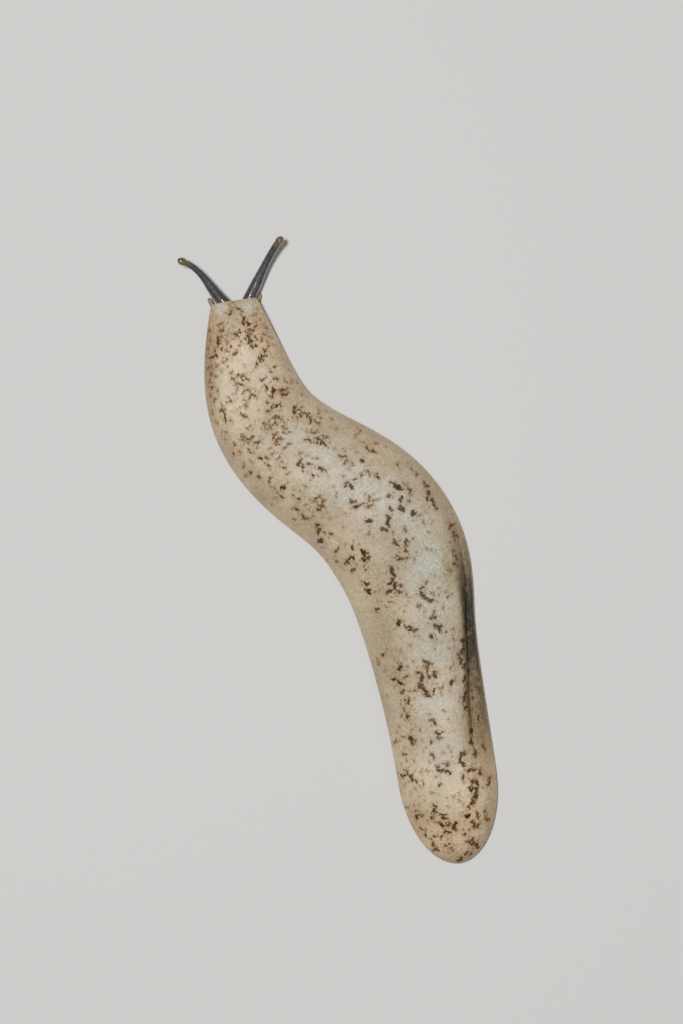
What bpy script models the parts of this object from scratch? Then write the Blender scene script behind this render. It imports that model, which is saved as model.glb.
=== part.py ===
"""A pancake slug, life size, lying in a shallow S on the floor with its eyestalks out.

The body is a leathery mantle over a narrow foot, in lengths that meet at thin cuts. The head sits under
the mantle's front edge and carries two eyestalks and two forked lower tentacles.
Metres, +Z up. The head points to +Y, and the origin is on the floor under the middle of the whole slug.
"""

import math

import bmesh
import bpy
import numpy as np
from mathutils import Matrix, Vector

MM = 0.001
GAP = 0.3 * MM  # between pieces that meet
SEAT_GROWTH = 0.45 * MM  # how much larger a seat is cut than what lies in it
SEAT_BOTTOM = -1.0 * MM  # a seat in a piece near the floor is cut down past it
SMALL_STEP = 0.01 * MM  # the way over which a direction is measured
MERGE_DISTANCE = 0.0001 * MM

# The body's middle line from the mantle's front edge to the tail: the way along it, its place seen from
# above, the mantle's half width and the height of the back, all in millimetres.
STATIONS = (
    (0.0, -16.3, 38.9, 3.6, 4.4),
    (10.0, -14.55, 29.1, 6.6, 5.7),
    (20.0, -11.1, 19.85, 8.4, 6.7),
    (30.0, -3.9, 12.9, 9.7, 7.5),
    (40.0, 4.2, 7.15, 10.5, 8.0),
    (50.0, 9.8, -1.1, 10.4, 7.9),
    (60.0, 12.25, -10.7, 9.0, 7.4),
    (72.0, 14.65, -22.6, 8.0, 6.8),
    (84.0, 16.75, -34.4, 7.7, 5.9),
    (98.0, 18.75, -48.6, 7.7, 4.6),
)
LENGTH = 98.0 * MM
TAIL_START = 84.5 * MM  # from here the outline closes as half an ellipse

# The mantle: a domed back, a thin margin round it and a hood over the head.
LIP_THICKNESS = 0.95 * MM
LIP_ROUND = 0.5 * MM
LIP_ANGLES = (math.radians(40), math.radians(90))
FRONT_ANGLES = (math.radians(25), math.radians(50))  # sections round the front edge
NARROW = 3.0 * MM  # below this half width the lip and the border shrink with it
MARGIN_LIFT = 0.45 * MM  # the margin's underside over the floor
HOOD_LIFT = 2.58 * MM  # the same at the very front
HOOD_FADE = 12.0 * MM
BORDER = 0.3 * MM  # from the margin's tip in to the foot of the dome
DOME_POWER = 2.5
DOME_FALL = 0.8
TUCK_PLACE = 65.0 * MM  # the fold that the bend presses into the right flank
TUCK_REACH = 15.0 * MM
TUCK_POWER = 4  # the higher it is, the more suddenly the fold begins and ends
TUCK_SWELL = 0.35 * MM  # of the margin outside the fold
TUCK_INSET = (1.1 * MM, 2.8 * MM)  # how far in from the margin it runs, in front and behind
TUCK_ENDS = (59.0 * MM, 81.0 * MM)
TUCK_SHARE = 0.36  # the most of the half width that it runs in
SHOULDER_SHARE = 0.87  # where the plain dome begins, of the way from the middle line to the fold
HOOD_LENGTH = 7.2 * MM
HOOD_SIDE = 0.7 * MM
HOOD_WALL = 0.2 * MM
BELLY = 1.5 * MM  # underside of the body over the foot
UNDER_REACH = 0.7  # of the way from foot to margin, where the underside has come down
TAIL_THINNING = 0.3
TAIL_ANGLE = math.radians(84)
TAIL_RINGS = 11
RING_STEP = 1.7 * MM
DOME_ANGLES = (66, 50, 34, 17)  # where a section has points over each half of the dome, in degrees
UNDER_SHARES = (0.78, 0.6, 0.42, 0.2)  # and underneath, as shares of the half width
MANTLE_CUTS = (12.0 * MM, 33.0 * MM, 60.0 * MM)  # where the body is straight
MANTLE_NAMES = ("mantle_front", "mantle_middle_front", "mantle_middle_rear", "mantle_tail")

# The foot: a flat sole with cross furrows.
FOOT_SHARE = 0.38  # of the mantle's width
FOOT_HEIGHT = BELLY - GAP
FOOT_SHOULDER = 0.88  # of its half width, where its top begins
FOOT_START = 4.2 * MM
FOOT_END = 95.6 * MM
TOE_ROUND = 3.2 * MM
HEEL_ROUND = 6.4 * MM
TOE_ANGLE = math.radians(10)  # the first section of the rounded toe, and the heel's last
TOE_RINGS = 6
HEEL_RINGS = 8
SOLE_SHARE = 0.84  # of the foot's width that is flat
SOLE_PARTS = (-1, -0.5, 0, 0.5, 1)  # points over the flat, as shares of half of it
SOLE_EDGE = 0.35 * MM
FURROW_STEP = 3.0 * MM
FURROW_WIDTH = 0.8 * MM
FURROW_DEPTH = 0.2 * MM
FOOT_CUTS = (30.0 * MM, 63.0 * MM)
FOOT_NAMES = ("foot_front", "foot_middle", "foot_rear")

# The head: a blunt snout under the hood.
SNOUT_START = 1.0 * MM
SNOUT_ROUND = 2.8 * MM
SNOUT_WIDTH = 5.8 * MM
SNOUT_BOTTOM = 0.45 * MM
SNOUT_RINGS = 8
SNOUT_SIDES = 18
SNOUT_TIP_ANGLE = math.radians(15)
MOUTH_ALONG = 1.75 * MM
MOUTH_HEIGHT = 1.15 * MM
MOUTH_TILT = math.radians(-52)
LIP_RING = 0.72 * MM
LIP_RING_THICK = 0.3 * MM
LIP_STRETCH = 1.25
LIP_FACETS = (16, 8)  # round the mouth, and round the lip
MOUTH_SLIT = (0.8 * MM, 0.2 * MM, 0.55 * MM)
SLIT_FACETS = (12, 7)

# Each eyestalk: where it leaves the mantle's edge and where its tip ends, seen from above, how far it bows
# to the left of its way between them, and its radius from root to tip. The left one is the picture's left.
STALKS = {
    "left": {
        "edge": (-18.1, 39.0), "tip": (-24.2, 44.9), "bow": -0.62, "radii": (1.02, 0.9, 0.66, 0.54, 0.53),
    },
    "right": {
        "edge": (-14.2, 38.9), "tip": (-9.2, 48.1), "bow": 0.25, "radii": (0.98, 0.92, 0.71, 0.59, 0.6),
    },
}
STALK_EDGE_HEIGHT = 1.6 * MM
STALK_TIP_HEIGHT = 4.2 * MM
STALK_BEND = 1.4
BOW_SCALE = 27 / 4  # brings the highest value of share * share * (1 - share) to 1
STALK_RINGS = 22
STALK_WRINKLE = 0.035
STALK_END = 0.9  # the share of a stalk from which its end points straight on
STALK_FACETS = 4  # a tube's bevel resolution
BOSS_BACK = 2.4 * MM  # from the mantle's edge back to the boss's hidden end
BOSS_END = 0.5 * MM  # from the mantle's edge back to its flat face
BOSS_RADIUS = 0.92 * MM
EYE_RADIUS = 0.66 * MM
EYE_STRETCH = 1.25
EYE_FACETS = (14, 9)

# Each lower tentacle: root, middle and tip in millimetres, and the tip of its short inner branch.
FEELERS = {
    "left": ((-18.0, 36.5, 0.9), (-19.6, 37.8, 0.75), (-20.3, 39.55, 0.72), (-19.9, 39.1, 0.42)),
    "right": ((-14.3, 36.4, 1.0), (-12.7, 37.8, 0.7), (-12.3, 40.4, 0.5), (-12.7, 39.4, 0.4)),
}
FEELER_RADIUS = 0.4 * MM
FEELER_SWELL = ((0.0, 1.05), (0.3, 1.0), (0.6, 0.95), (0.8, 0.98), (0.93, 0.75), (1.0, 0.3))
FEELER_FACETS = 3
FORK = 2  # the point of the feeler's line that the branch leaves from
BRANCH_RADIUS = 0.3 * MM
BRANCH_SWELL = ((0.0, 1.0), (0.55, 1.0), (0.9, 0.75), (1.0, 0.3))
BRANCH_FACETS = 2

ROUND_ANGLE = math.radians(40)


def clear_scene():
    for thing in list(bpy.data.objects):
        bpy.data.objects.remove(thing, do_unlink=True)


def new_collection(name):
    collection = bpy.data.collections.new(name)
    bpy.context.scene.collection.children.link(collection)
    return collection


def spline(knots, values):
    """A smooth curve through the values at the knots, as a function."""
    knots = np.array(knots, float)
    values = np.array(values, float)
    step = np.diff(knots)
    slope = np.diff(values) / step
    count = len(knots)
    matrix = np.eye(count)
    right = np.zeros(count)
    for i in range(1, count - 1):
        matrix[i, i - 1 : i + 2] = step[i - 1], 2 * (step[i - 1] + step[i]), step[i]
        right[i] = 6 * (slope[i] - slope[i - 1])
    bend = np.linalg.solve(matrix, right)

    def at(place):
        i = int(np.clip(np.searchsorted(knots, place, side="right") - 1, 0, count - 2))
        far = place - knots[i]
        start = slope[i] - step[i] * (2 * bend[i] + bend[i + 1]) / 6
        turn = bend[i] / 2 + far * (bend[i + 1] - bend[i]) / (6 * step[i])
        return float(values[i] + far * (start + far * turn))

    return at


COLUMNS = [[row[i] * MM for row in STATIONS] for i in range(5)]
line_x, line_y, station_width, station_height = (spline(COLUMNS[0], column) for column in COLUMNS[1:])


def fade(value):
    """0 below 0, 1 above 1, and smooth between."""
    value = min(max(value, 0.0), 1.0)
    return value * value * (3 - 2 * value)


def closing(along):
    """The share of the full width and height that the rounded tail keeps."""
    beyond = max(along - TAIL_START, 0.0) / (LENGTH - TAIL_START)
    return math.sqrt(max(1 - beyond * beyond, 0.0))


def half_width(along):
    return station_width(min(along, TAIL_START)) * closing(along)


def margin_low(along):
    return HOOD_LIFT + (MARGIN_LIFT - HOOD_LIFT) * fade(along / HOOD_FADE)


def margin_high(along):
    return margin_low(along) + LIP_THICKNESS


def back_height(along):
    return margin_high(along) + (station_height(along) - margin_high(along)) * closing(along)


def tuck(along):
    """How strongly the right flank is tucked in, from 0 to 1."""
    return math.exp(-(((along - TUCK_PLACE) / TUCK_REACH) ** TUCK_POWER))


def narrowing(half):
    return min(1.0, half / NARROW)


def tuck_inset(along):
    """The way from the margin's tip in to the bottom of the fold."""
    near, far = TUCK_INSET
    start, end = TUCK_ENDS
    inset = near + (far - near) * fade((along - start) / (end - start))
    return min(inset, TUCK_SHARE * half_width(along))


def dome(share):
    """The dome's height, from 1 on the middle line to 0 at a share of 1 of its half width."""
    return (1 - min(share, 1.0) ** DOME_POWER) ** DOME_FALL


def tucked_dome(along, across, rise):
    """The right flank where it is fully tucked: steep down to the fold, then the margin's low swelling."""
    half = half_width(along)
    fold = half - tuck_inset(along)
    if across > fold:
        return TUCK_SWELL * math.sin(math.pi * min((across - fold) / (half - fold), 1.0))
    return rise * dome(across / fold)


def top_height(along, across):
    """Height of the mantle's upper surface at a distance across from the middle line, + to the right."""
    half = half_width(along)
    rise = back_height(along) - margin_high(along)
    plain = rise * dome(abs(across) / (half - BORDER * narrowing(half)))
    if across <= 0.0:
        return margin_high(along) + plain
    share = tuck(along) * closing(along)
    return margin_high(along) + plain + (tucked_dome(along, across, rise) - plain) * share


def foot_half_width(along):
    """Half the foot's width, closing to nothing at its rounded front and its longer heel."""
    ahead = min(max(FOOT_START + TOE_ROUND - along, 0.0) / TOE_ROUND, 1.0)
    behind = min(max(along - FOOT_END + HEEL_ROUND, 0.0) / HEEL_ROUND, 1.0)
    full = FOOT_SHARE * station_width(min(along, TAIL_START))
    return full * math.sqrt((1 - ahead * ahead) * (1 - behind * behind))


def under_height(along, across):
    """Height of the underside: hollow over the head, then level over the foot and down to the margin."""
    low = margin_low(along)
    if along <= HOOD_LENGTH + HOOD_WALL / 2:
        inside = half_width(along) - BORDER - HOOD_SIDE
        return low + (back_height(along) - LIP_THICKNESS - low) * dome(abs(across) / inside)
    inner = foot_half_width(along) + GAP
    reach = UNDER_REACH * max(half_width(along) - inner, GAP)
    return BELLY + (low - BELLY) * fade((abs(across) - inner) / reach)


def place(along, across, height):
    """The point at a way along the middle line, a distance across it and a height."""
    ahead = Vector((line_x(along + SMALL_STEP), line_y(along + SMALL_STEP)))
    behind = Vector((line_x(along - SMALL_STEP), line_y(along - SMALL_STEP)))
    direction = (ahead - behind).normalized()
    return Vector((line_x(along) - direction.y * across, line_y(along) + direction.x * across, height))


def lip_points(half):
    """Distances in from the margin's tip for the rounded lip, with the share of the thickness kept there."""
    reach = LIP_ROUND * narrowing(half)
    return [(reach * (1 - math.cos(angle)), math.sin(angle)) for angle in LIP_ANGLES]


def skin_heights(along, across, share, squeeze):
    """Heights of the mantle's two surfaces at one place.

    share is what the rounded lip keeps of the thickness there, and squeeze what the front edge keeps.
    """
    edge = (margin_low(along) + margin_high(along)) / 2
    kept = share * closing(along) ** TAIL_THINNING
    upper = edge + (top_height(along, across) - edge) * kept
    lower = edge + (under_height(along, across) - edge) * kept
    middle = (upper + lower) / 2
    return middle + (upper - middle) * squeeze, middle + (lower - middle) * squeeze


def mantle_ring(along, squeeze=1.0):
    """One section of the mantle, from the right margin over the back to the left and back underneath.

    squeeze draws it in towards the middle of its thickness, for the rounded front edge.
    """

    def heights(across, share):
        return skin_heights(along, across, share, squeeze)

    half = half_width(along) - LIP_ROUND * (1 - squeeze)
    lip = lip_points(half)
    over = []
    under = []
    for side in (1, -1):
        fold = half - tuck_inset(along)
        shoulder = SHOULDER_SHARE * fold
        marks = [(half, 0.0)] + [(half - inward, share) for inward, share in lip]
        upper = marks + [((half - lip[-1][0] + fold) / 2, 1.0), (fold, 1.0), (shoulder, 1.0)]
        upper += [(shoulder * math.sin(math.radians(angle)), 1.0) for angle in DOME_ANGLES]
        lower = marks[1:] + [(half * part, 1.0) for part in UNDER_SHARES]
        over.append([(side * mark, heights(side * mark, share)[0]) for mark, share in upper])
        under.append([(side * mark, heights(side * mark, share)[1]) for mark, share in lower])
    crest, keel = heights(0.0, 1.0)
    outline = over[0] + [(0.0, crest)] + over[1][::-1] + under[1] + [(0.0, keel)] + under[0][::-1]
    return [place(along, across, height) for across, height in outline]


def loft(name, rings, collection):
    """A closed skin over sections that all have the same number of points."""
    mesh = bmesh.new()
    rows = [[mesh.verts.new(point) for point in ring] for ring in rings]
    count = len(rows[0])
    for row, following in zip(rows, rows[1:]):
        for i in range(count):
            j = (i + 1) % count
            mesh.faces.new((row[i], row[j], following[j], following[i]))
    mesh.faces.new(rows[0][::-1])
    mesh.faces.new(rows[-1])
    bmesh.ops.recalc_face_normals(mesh, faces=mesh.faces[:])
    return mesh_object(name, mesh, collection)


def mesh_object(name, mesh, collection):
    data = bpy.data.meshes.new(name)
    mesh.to_mesh(data)
    mesh.free()
    thing = bpy.data.objects.new(name, data)
    collection.objects.link(thing)
    return thing


def steps_between(start, end, step):
    """Evenly spaced places from start to end, both included, about a step apart."""
    count = max(2, round((end - start) / step) + 1)
    return [start + (end - start) * i / (count - 1) for i in range(count)]


def rounded_end(start, end, first_angle, last_angle, count):
    """Places that close up towards the end, for a rounded tip."""
    angles = steps_between(first_angle, last_angle, (last_angle - first_angle) / (count - 1))
    return [start + (end - start) * math.sin(angle) for angle in angles]


def build_mantle(collection):
    borders = (0.0, *MANTLE_CUTS, LENGTH)
    for name, start, end in zip(MANTLE_NAMES, borders, borders[1:]):
        rings = []
        if start == 0.0:
            for angle in FRONT_ANGLES:
                rings.append(mantle_ring(LIP_ROUND * (1 - math.cos(angle)), math.sin(angle)))
            hood = steps_between(LIP_ROUND, HOOD_LENGTH, RING_STEP)
            rest = steps_between(HOOD_LENGTH + HOOD_WALL, end - GAP / 2, RING_STEP)
            places = hood + rest
        elif end == LENGTH:
            places = steps_between(start + GAP / 2, TAIL_START, RING_STEP)
            places += rounded_end(TAIL_START, end, 0.0, TAIL_ANGLE, TAIL_RINGS)[1:]
        else:
            places = steps_between(start + GAP / 2, end - GAP / 2, RING_STEP)
        rings += [mantle_ring(along) for along in places]
        loft(name, rings, collection)


def foot_top(along):
    """Height of the foot's top, which keeps clear of the thinning tail."""
    return min(FOOT_HEIGHT, skin_heights(along, 0.0, 1.0, 1.0)[1] - GAP)


def foot_ring(along, half, top, bottom=0.0, furrow=0.0):
    """One section of the foot, which furrow lifts off the floor."""
    sole = [(part * SOLE_SHARE * half, bottom + furrow) for part in SOLE_PARTS]
    side = [(half, bottom + SOLE_EDGE), (half, top - SOLE_EDGE), (FOOT_SHOULDER * half, top)]
    outline = sole + side + [(0.0, top)] + [(-across, height) for across, height in side[::-1]]
    return [place(along, across, height) for across, height in outline]


def foot_places(start, end):
    """Places along the foot with the lift of the sole at each: level, then in and out of each furrow."""
    found = [(start, 0.0)]
    furrow = FOOT_START + TOE_ROUND + FURROW_STEP / 2
    while furrow < FOOT_END - HEEL_ROUND:
        if start + FURROW_WIDTH < furrow < end - FURROW_WIDTH:
            found.append((furrow - FURROW_WIDTH / 2, 0.0))
            found.append((furrow, FURROW_DEPTH))
            found.append((furrow + FURROW_WIDTH / 2, 0.0))
        furrow += FURROW_STEP
    found.append((end, 0.0))
    return found


def toe_rings(grow=0.0, bottom=0.0):
    """Sections round the toe, from its tip to the foot's full width. Grown ones cut the toe's seat."""
    full = FOOT_START + TOE_ROUND
    rings = []
    for angle in steps_between(TOE_ANGLE, math.pi / 2, (math.pi / 2 - TOE_ANGLE) / TOE_RINGS):
        along = full - (TOE_ROUND + grow) * math.cos(angle)
        half = (foot_half_width(full) + grow) * math.sin(angle)
        rings.append(foot_ring(along, half, FOOT_HEIGHT + grow, bottom))
    return rings


def build_foot(collection):
    borders = (FOOT_START, *FOOT_CUTS, FOOT_END)
    back_round = FOOT_END - HEEL_ROUND
    for name, start, end in zip(FOOT_NAMES, borders, borders[1:]):
        rings = []
        first = start + GAP / 2
        last = end - GAP / 2
        if start == FOOT_START:
            rings += toe_rings()[:-1]
            first = FOOT_START + TOE_ROUND
        if end == FOOT_END:
            last = back_round
        places = foot_places(first, last)
        if end == FOOT_END:
            heel = rounded_end(back_round, FOOT_END, TOE_ANGLE, math.pi / 2 - TOE_ANGLE, HEEL_RINGS)
            places += [(along, 0.0) for along in heel]
        for along, furrow in places:
            rings.append(foot_ring(along, foot_half_width(along), foot_top(along), 0.0, furrow))
        loft(name, rings, collection)


def snout_ring(along, angle, grow=0.0):
    """One section of the snout. angle runs from the rounded tip to a quarter turn at the full section."""
    size = math.sin(angle)
    top = under_height(max(along, LIP_ROUND), 0.0) - GAP
    middle = (top + SNOUT_BOTTOM) / 2
    tall = (top - SNOUT_BOTTOM) / 2 * size + grow
    wide = SNOUT_WIDTH / 2 * size + grow
    turns = [math.tau * i / SNOUT_SIDES for i in range(SNOUT_SIDES)]
    return [place(along, wide * math.cos(turn), middle + tall * math.sin(turn)) for turn in turns]


def build_snout(name, collection, grow=0.0):
    """The snout's solid. A grown one cuts what is seated on it."""
    full = SNOUT_START + SNOUT_ROUND
    rings = []
    for i in range(SNOUT_RINGS):
        angle = SNOUT_TIP_ANGLE + (math.pi / 2 - SNOUT_TIP_ANGLE) * i / (SNOUT_RINGS - 1)
        along = full - (SNOUT_ROUND + grow) * math.cos(angle)
        rings.append(snout_ring(along, angle, grow))
    rings.append(snout_ring(HOOD_LENGTH - GAP, math.pi / 2, grow))
    return loft(name, rings, collection)


def tube(name, points, radii, collection, facets=STALK_FACETS):
    """A round tube through the points as a closed mesh."""
    curve = bpy.data.curves.new(name, "CURVE")
    curve.dimensions = "3D"
    curve.bevel_depth = 1.0
    curve.bevel_resolution = facets
    curve.use_fill_caps = True
    path = curve.splines.new("POLY")
    path.points.add(len(points) - 1)
    for knot, point, radius in zip(path.points, points, radii):
        knot.co = (*point, 1.0)
        knot.radius = radius
    guide = bpy.data.objects.new(name + "_guide", curve)
    collection.objects.link(guide)
    bpy.context.view_layer.update()
    data = bpy.data.meshes.new_from_object(guide.evaluated_get(bpy.context.evaluated_depsgraph_get()))
    bpy.data.objects.remove(guide, do_unlink=True)
    mesh = bmesh.new()
    mesh.from_mesh(data)
    bpy.data.meshes.remove(data)
    bmesh.ops.remove_doubles(mesh, verts=mesh.verts[:], dist=MERGE_DISTANCE)
    bmesh.ops.recalc_face_normals(mesh, faces=mesh.faces[:])
    return mesh_object(name, mesh, collection)


def stalk_point(side, share):
    """A point on an eyestalk's middle line: share is 0 at the mantle's edge and 1 at the tip."""
    stalk = STALKS[side]
    edge = Vector((*stalk["edge"], 0.0)) * MM
    tip = Vector((*stalk["tip"], 0.0)) * MM
    heading = (tip - edge).normalized()
    outside = max(share, 0.0)
    bow = stalk["bow"] * MM * BOW_SCALE * outside * outside * (1 - outside)
    point = edge.lerp(tip, share) + bow * Vector((-heading.y, heading.x, 0.0))
    rise = outside ** STALK_BEND
    point.z = STALK_EDGE_HEIGHT + (STALK_TIP_HEIGHT - STALK_EDGE_HEIGHT) * rise
    return point


def stalk_length(side):
    stalk = STALKS[side]
    return (Vector(stalk["tip"]) - Vector(stalk["edge"])).length * MM


def build_stalk(side, collection):
    """An eyestalk with faint rings, from its flat root to the seat of the eye."""
    radii = STALKS[side]["radii"]
    radius_at = spline([i / (len(radii) - 1) for i in range(len(radii))], [radius * MM for radius in radii])
    root = -(BOSS_END - GAP) / stalk_length(side)
    shares = [root + (1 - root) * i / (STALK_RINGS - 1) for i in range(STALK_RINGS)]
    points = [stalk_point(side, share) for share in shares]
    thick = [
        radius_at(max(share, 0.0)) * (1 + (STALK_WRINKLE if i % 2 else -STALK_WRINKLE))
        for i, share in enumerate(shares)
    ]
    thick[0] = radius_at(0.0)
    return tube("eyestalk_" + side, points, thick, collection)


def eye_shape(name, side, grow, collection):
    """The rounded tip that holds the eye, lying along the stalk's end."""
    tip = stalk_point(side, 1.0)
    direction = tip - stalk_point(side, STALK_END)
    segments, rings = EYE_FACETS
    bpy.ops.mesh.primitive_uv_sphere_add(segments=segments, ring_count=rings, radius=1.0)
    eye = bpy.context.object
    eye.name = name
    turn = direction.to_track_quat("Z", "Y").to_matrix().to_4x4()
    size = Matrix.Diagonal((EYE_RADIUS + grow, EYE_RADIUS + grow, EYE_RADIUS * EYE_STRETCH + grow, 1.0))
    eye.data.transform(Matrix.Translation(tip) @ turn @ size)
    move_to(eye, collection)
    return eye


def move_to(thing, collection):
    for holder in list(thing.users_collection):
        holder.objects.unlink(thing)
    collection.objects.link(thing)


def build_feeler(side, collection, cutters):
    """A forked lower tentacle: the long outer branch and the short inner one."""
    root, middle, tip, branch_tip = (Vector(point) * MM for point in FEELERS[side])
    points = [root.lerp(middle, share).lerp(middle.lerp(tip, share), share) for share, _ in FEELER_SWELL]
    thick = [FEELER_RADIUS * swell for _, swell in FEELER_SWELL]
    feeler = tube("lower_tentacle_" + side, points, thick, collection, FEELER_FACETS)
    branch_points = [points[FORK].lerp(branch_tip, share) for share, _ in BRANCH_SWELL]
    branch_thick = [BRANCH_RADIUS * swell for _, swell in BRANCH_SWELL]
    branch = tube("branch_" + side, branch_points, branch_thick, cutters, BRANCH_FACETS)
    combine(feeler, branch, "UNION")
    return feeler


def combine(target, other, operation):
    """Joins the target with another closed mesh, or cuts it, by a modifier that stays on it."""
    change = target.modifiers.new(other.name, "BOOLEAN")
    change.operation = operation
    change.object = other


def build_boss(side, collection):
    """The swelling on the head that an eyestalk grows from, with a flat face under the hood."""
    length = stalk_length(side)
    points = [stalk_point(side, -BOSS_BACK / length), stalk_point(side, -BOSS_END / length)]
    return tube("boss_" + side, points, [BOSS_RADIUS, BOSS_RADIUS], collection)


def mouth_frame():
    """The mouth's place on the snout, turned to face forward and down."""
    middle = place(MOUTH_ALONG, 0.0, MOUTH_HEIGHT)
    forward = place(MOUTH_ALONG - SMALL_STEP, 0.0, MOUTH_HEIGHT) - middle
    heading = math.atan2(forward.y, forward.x) - math.pi / 2
    return Matrix.Translation(middle) @ Matrix.Rotation(heading, 4, "Z") @ Matrix.Rotation(MOUTH_TILT, 4, "X")


def build_lips(collection):
    around, through = LIP_FACETS
    bpy.ops.mesh.primitive_torus_add(
        major_segments=around, minor_segments=through, major_radius=LIP_RING, minor_radius=LIP_RING_THICK
    )
    lips = bpy.context.object
    lips.name = "lips"
    upright = Matrix.Rotation(math.pi / 2, 4, "X")
    lips.data.transform(mouth_frame() @ Matrix.Diagonal((LIP_STRETCH, 1.0, 1.0, 1.0)) @ upright)
    move_to(lips, collection)
    return lips


def build_mouth_slit(collection):
    segments, rings = SLIT_FACETS
    bpy.ops.mesh.primitive_uv_sphere_add(segments=segments, ring_count=rings, radius=1.0)
    slit = bpy.context.object
    slit.name = "mouth_slit"
    wide, high, deep = MOUTH_SLIT
    slit.data.transform(mouth_frame() @ Matrix.Diagonal((wide, deep, high, 1.0)))
    move_to(slit, collection)
    return slit


def build_head(collection, cutters):
    head = build_snout("head", collection)
    for side in STALKS:
        combine(head, build_boss(side, cutters), "UNION")
    combine(head, build_lips(cutters), "UNION")
    combine(head, build_mouth_slit(cutters), "DIFFERENCE")
    beyond = HOOD_LENGTH + TOE_ROUND
    wide = foot_half_width(beyond) + SEAT_GROWTH
    seat = toe_rings(SEAT_GROWTH, SEAT_BOTTOM)
    seat.append(foot_ring(beyond, wide, FOOT_HEIGHT + SEAT_GROWTH, SEAT_BOTTOM))
    combine(head, loft("foot_seat", seat, cutters), "DIFFERENCE")


def build_tentacles(collection, cutters):
    for side in STALKS:
        stalk = build_stalk(side, collection)
        combine(stalk, eye_shape("eye_seat_" + side, side, GAP, cutters), "DIFFERENCE")
        eye_shape("eye_" + side, side, 0.0, collection)
        feeler = build_feeler(side, collection, cutters)
        combine(feeler, build_snout("snout_seat_" + side, cutters, SEAT_GROWTH), "DIFFERENCE")


def skin_material(name, color, roughness):
    material = bpy.data.materials.new(name)
    material.use_nodes = True
    shader = material.node_tree.nodes["Principled BSDF"]
    shader.inputs["Base Color"].default_value = (*color, 1.0)
    shader.inputs["Roughness"].default_value = roughness
    shader.inputs["Metallic"].default_value = 0.0
    material.diffuse_color = (*color, 1.0)
    return material


def paint(collection):
    """Gives each piece its own material by the part of the slug it belongs to."""
    looks = {
        "mantle": ((0.62, 0.48, 0.33), 0.7),
        "foot": ((0.55, 0.47, 0.38), 0.5),
        "head": ((0.30, 0.24, 0.21), 0.45),
        "eyestalk": ((0.10, 0.11, 0.13), 0.3),
        "eye": ((0.30, 0.19, 0.11), 0.25),
        "lower": ((0.42, 0.24, 0.18), 0.4),
    }
    for thing in collection.objects:
        color, roughness = looks[thing.name.split("_")[0]]
        thing.data.materials.clear()
        thing.data.materials.append(skin_material(thing.name, color, roughness))
        thing.data.shade_smooth()
        thing.data.set_sharp_from_angle(angle=ROUND_ANGLE)


def hide_cutters(collection):
    for thing in collection.objects:
        thing.hide_render = True
        thing.display_type = "WIRE"


def main():
    clear_scene()
    slug = new_collection("pancake_slug")
    cutters = new_collection("cutters")
    build_mantle(slug)
    build_foot(slug)
    build_head(slug, cutters)
    build_tentacles(slug, cutters)
    hide_cutters(cutters)
    paint(slug)


main()
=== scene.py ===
import math
import random

import bmesh
import bpy
import numpy as np
from mathutils import Matrix, Vector, noise
from mathutils.kdtree import KDTree


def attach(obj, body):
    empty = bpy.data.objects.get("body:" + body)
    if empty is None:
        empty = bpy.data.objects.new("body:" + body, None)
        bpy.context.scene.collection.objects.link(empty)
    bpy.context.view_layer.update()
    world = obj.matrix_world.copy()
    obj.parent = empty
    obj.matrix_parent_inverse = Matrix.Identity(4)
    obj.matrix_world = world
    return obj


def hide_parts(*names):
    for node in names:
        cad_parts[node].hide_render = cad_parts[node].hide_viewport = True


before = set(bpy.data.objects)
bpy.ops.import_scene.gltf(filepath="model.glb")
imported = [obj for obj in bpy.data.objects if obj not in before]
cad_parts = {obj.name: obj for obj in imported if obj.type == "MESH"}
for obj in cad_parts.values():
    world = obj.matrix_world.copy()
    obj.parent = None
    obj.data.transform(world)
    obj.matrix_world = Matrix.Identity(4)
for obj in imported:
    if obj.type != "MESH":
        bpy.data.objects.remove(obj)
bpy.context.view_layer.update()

MM = 0.001
SEED = 7

# Camera: straight above, at the photograph's scale.
PHOTO_SCALE = 6.4  # pixels a millimetre on the floor
PHOTO_SIZE = (683, 1024)
BODY_MIDDLE_PIXEL = (338.75, 551.25)  # where the model's origin lies in the photograph
CAMERA_DISTANCE = 0.45
SENSOR = 36.0
FLOOR_SIZE = 6.0
FLOOR_DROP = 0.0002
WORLD_COLOR = (1.0, 0.99, 0.97)
WORLD_STRENGTH = 0.14

# The body's middle line: way along it, place seen from above, half width and height of the back, in mm.
STATIONS = (
    (0.0, -16.3, 38.9, 3.6, 4.4),
    (10.0, -14.55, 29.1, 6.6, 5.7),
    (20.0, -11.1, 19.85, 8.4, 6.7),
    (30.0, -3.9, 12.9, 9.7, 7.5),
    (40.0, 4.2, 7.15, 10.5, 8.0),
    (50.0, 9.8, -1.1, 10.4, 7.9),
    (60.0, 12.25, -10.7, 9.0, 7.4),
    (72.0, 14.65, -22.6, 8.0, 6.8),
    (84.0, 16.75, -34.4, 7.7, 5.9),
    (98.0, 18.75, -48.6, 7.7, 4.6),
)
LENGTH = 98.0
TAIL_START = 84.5

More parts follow.
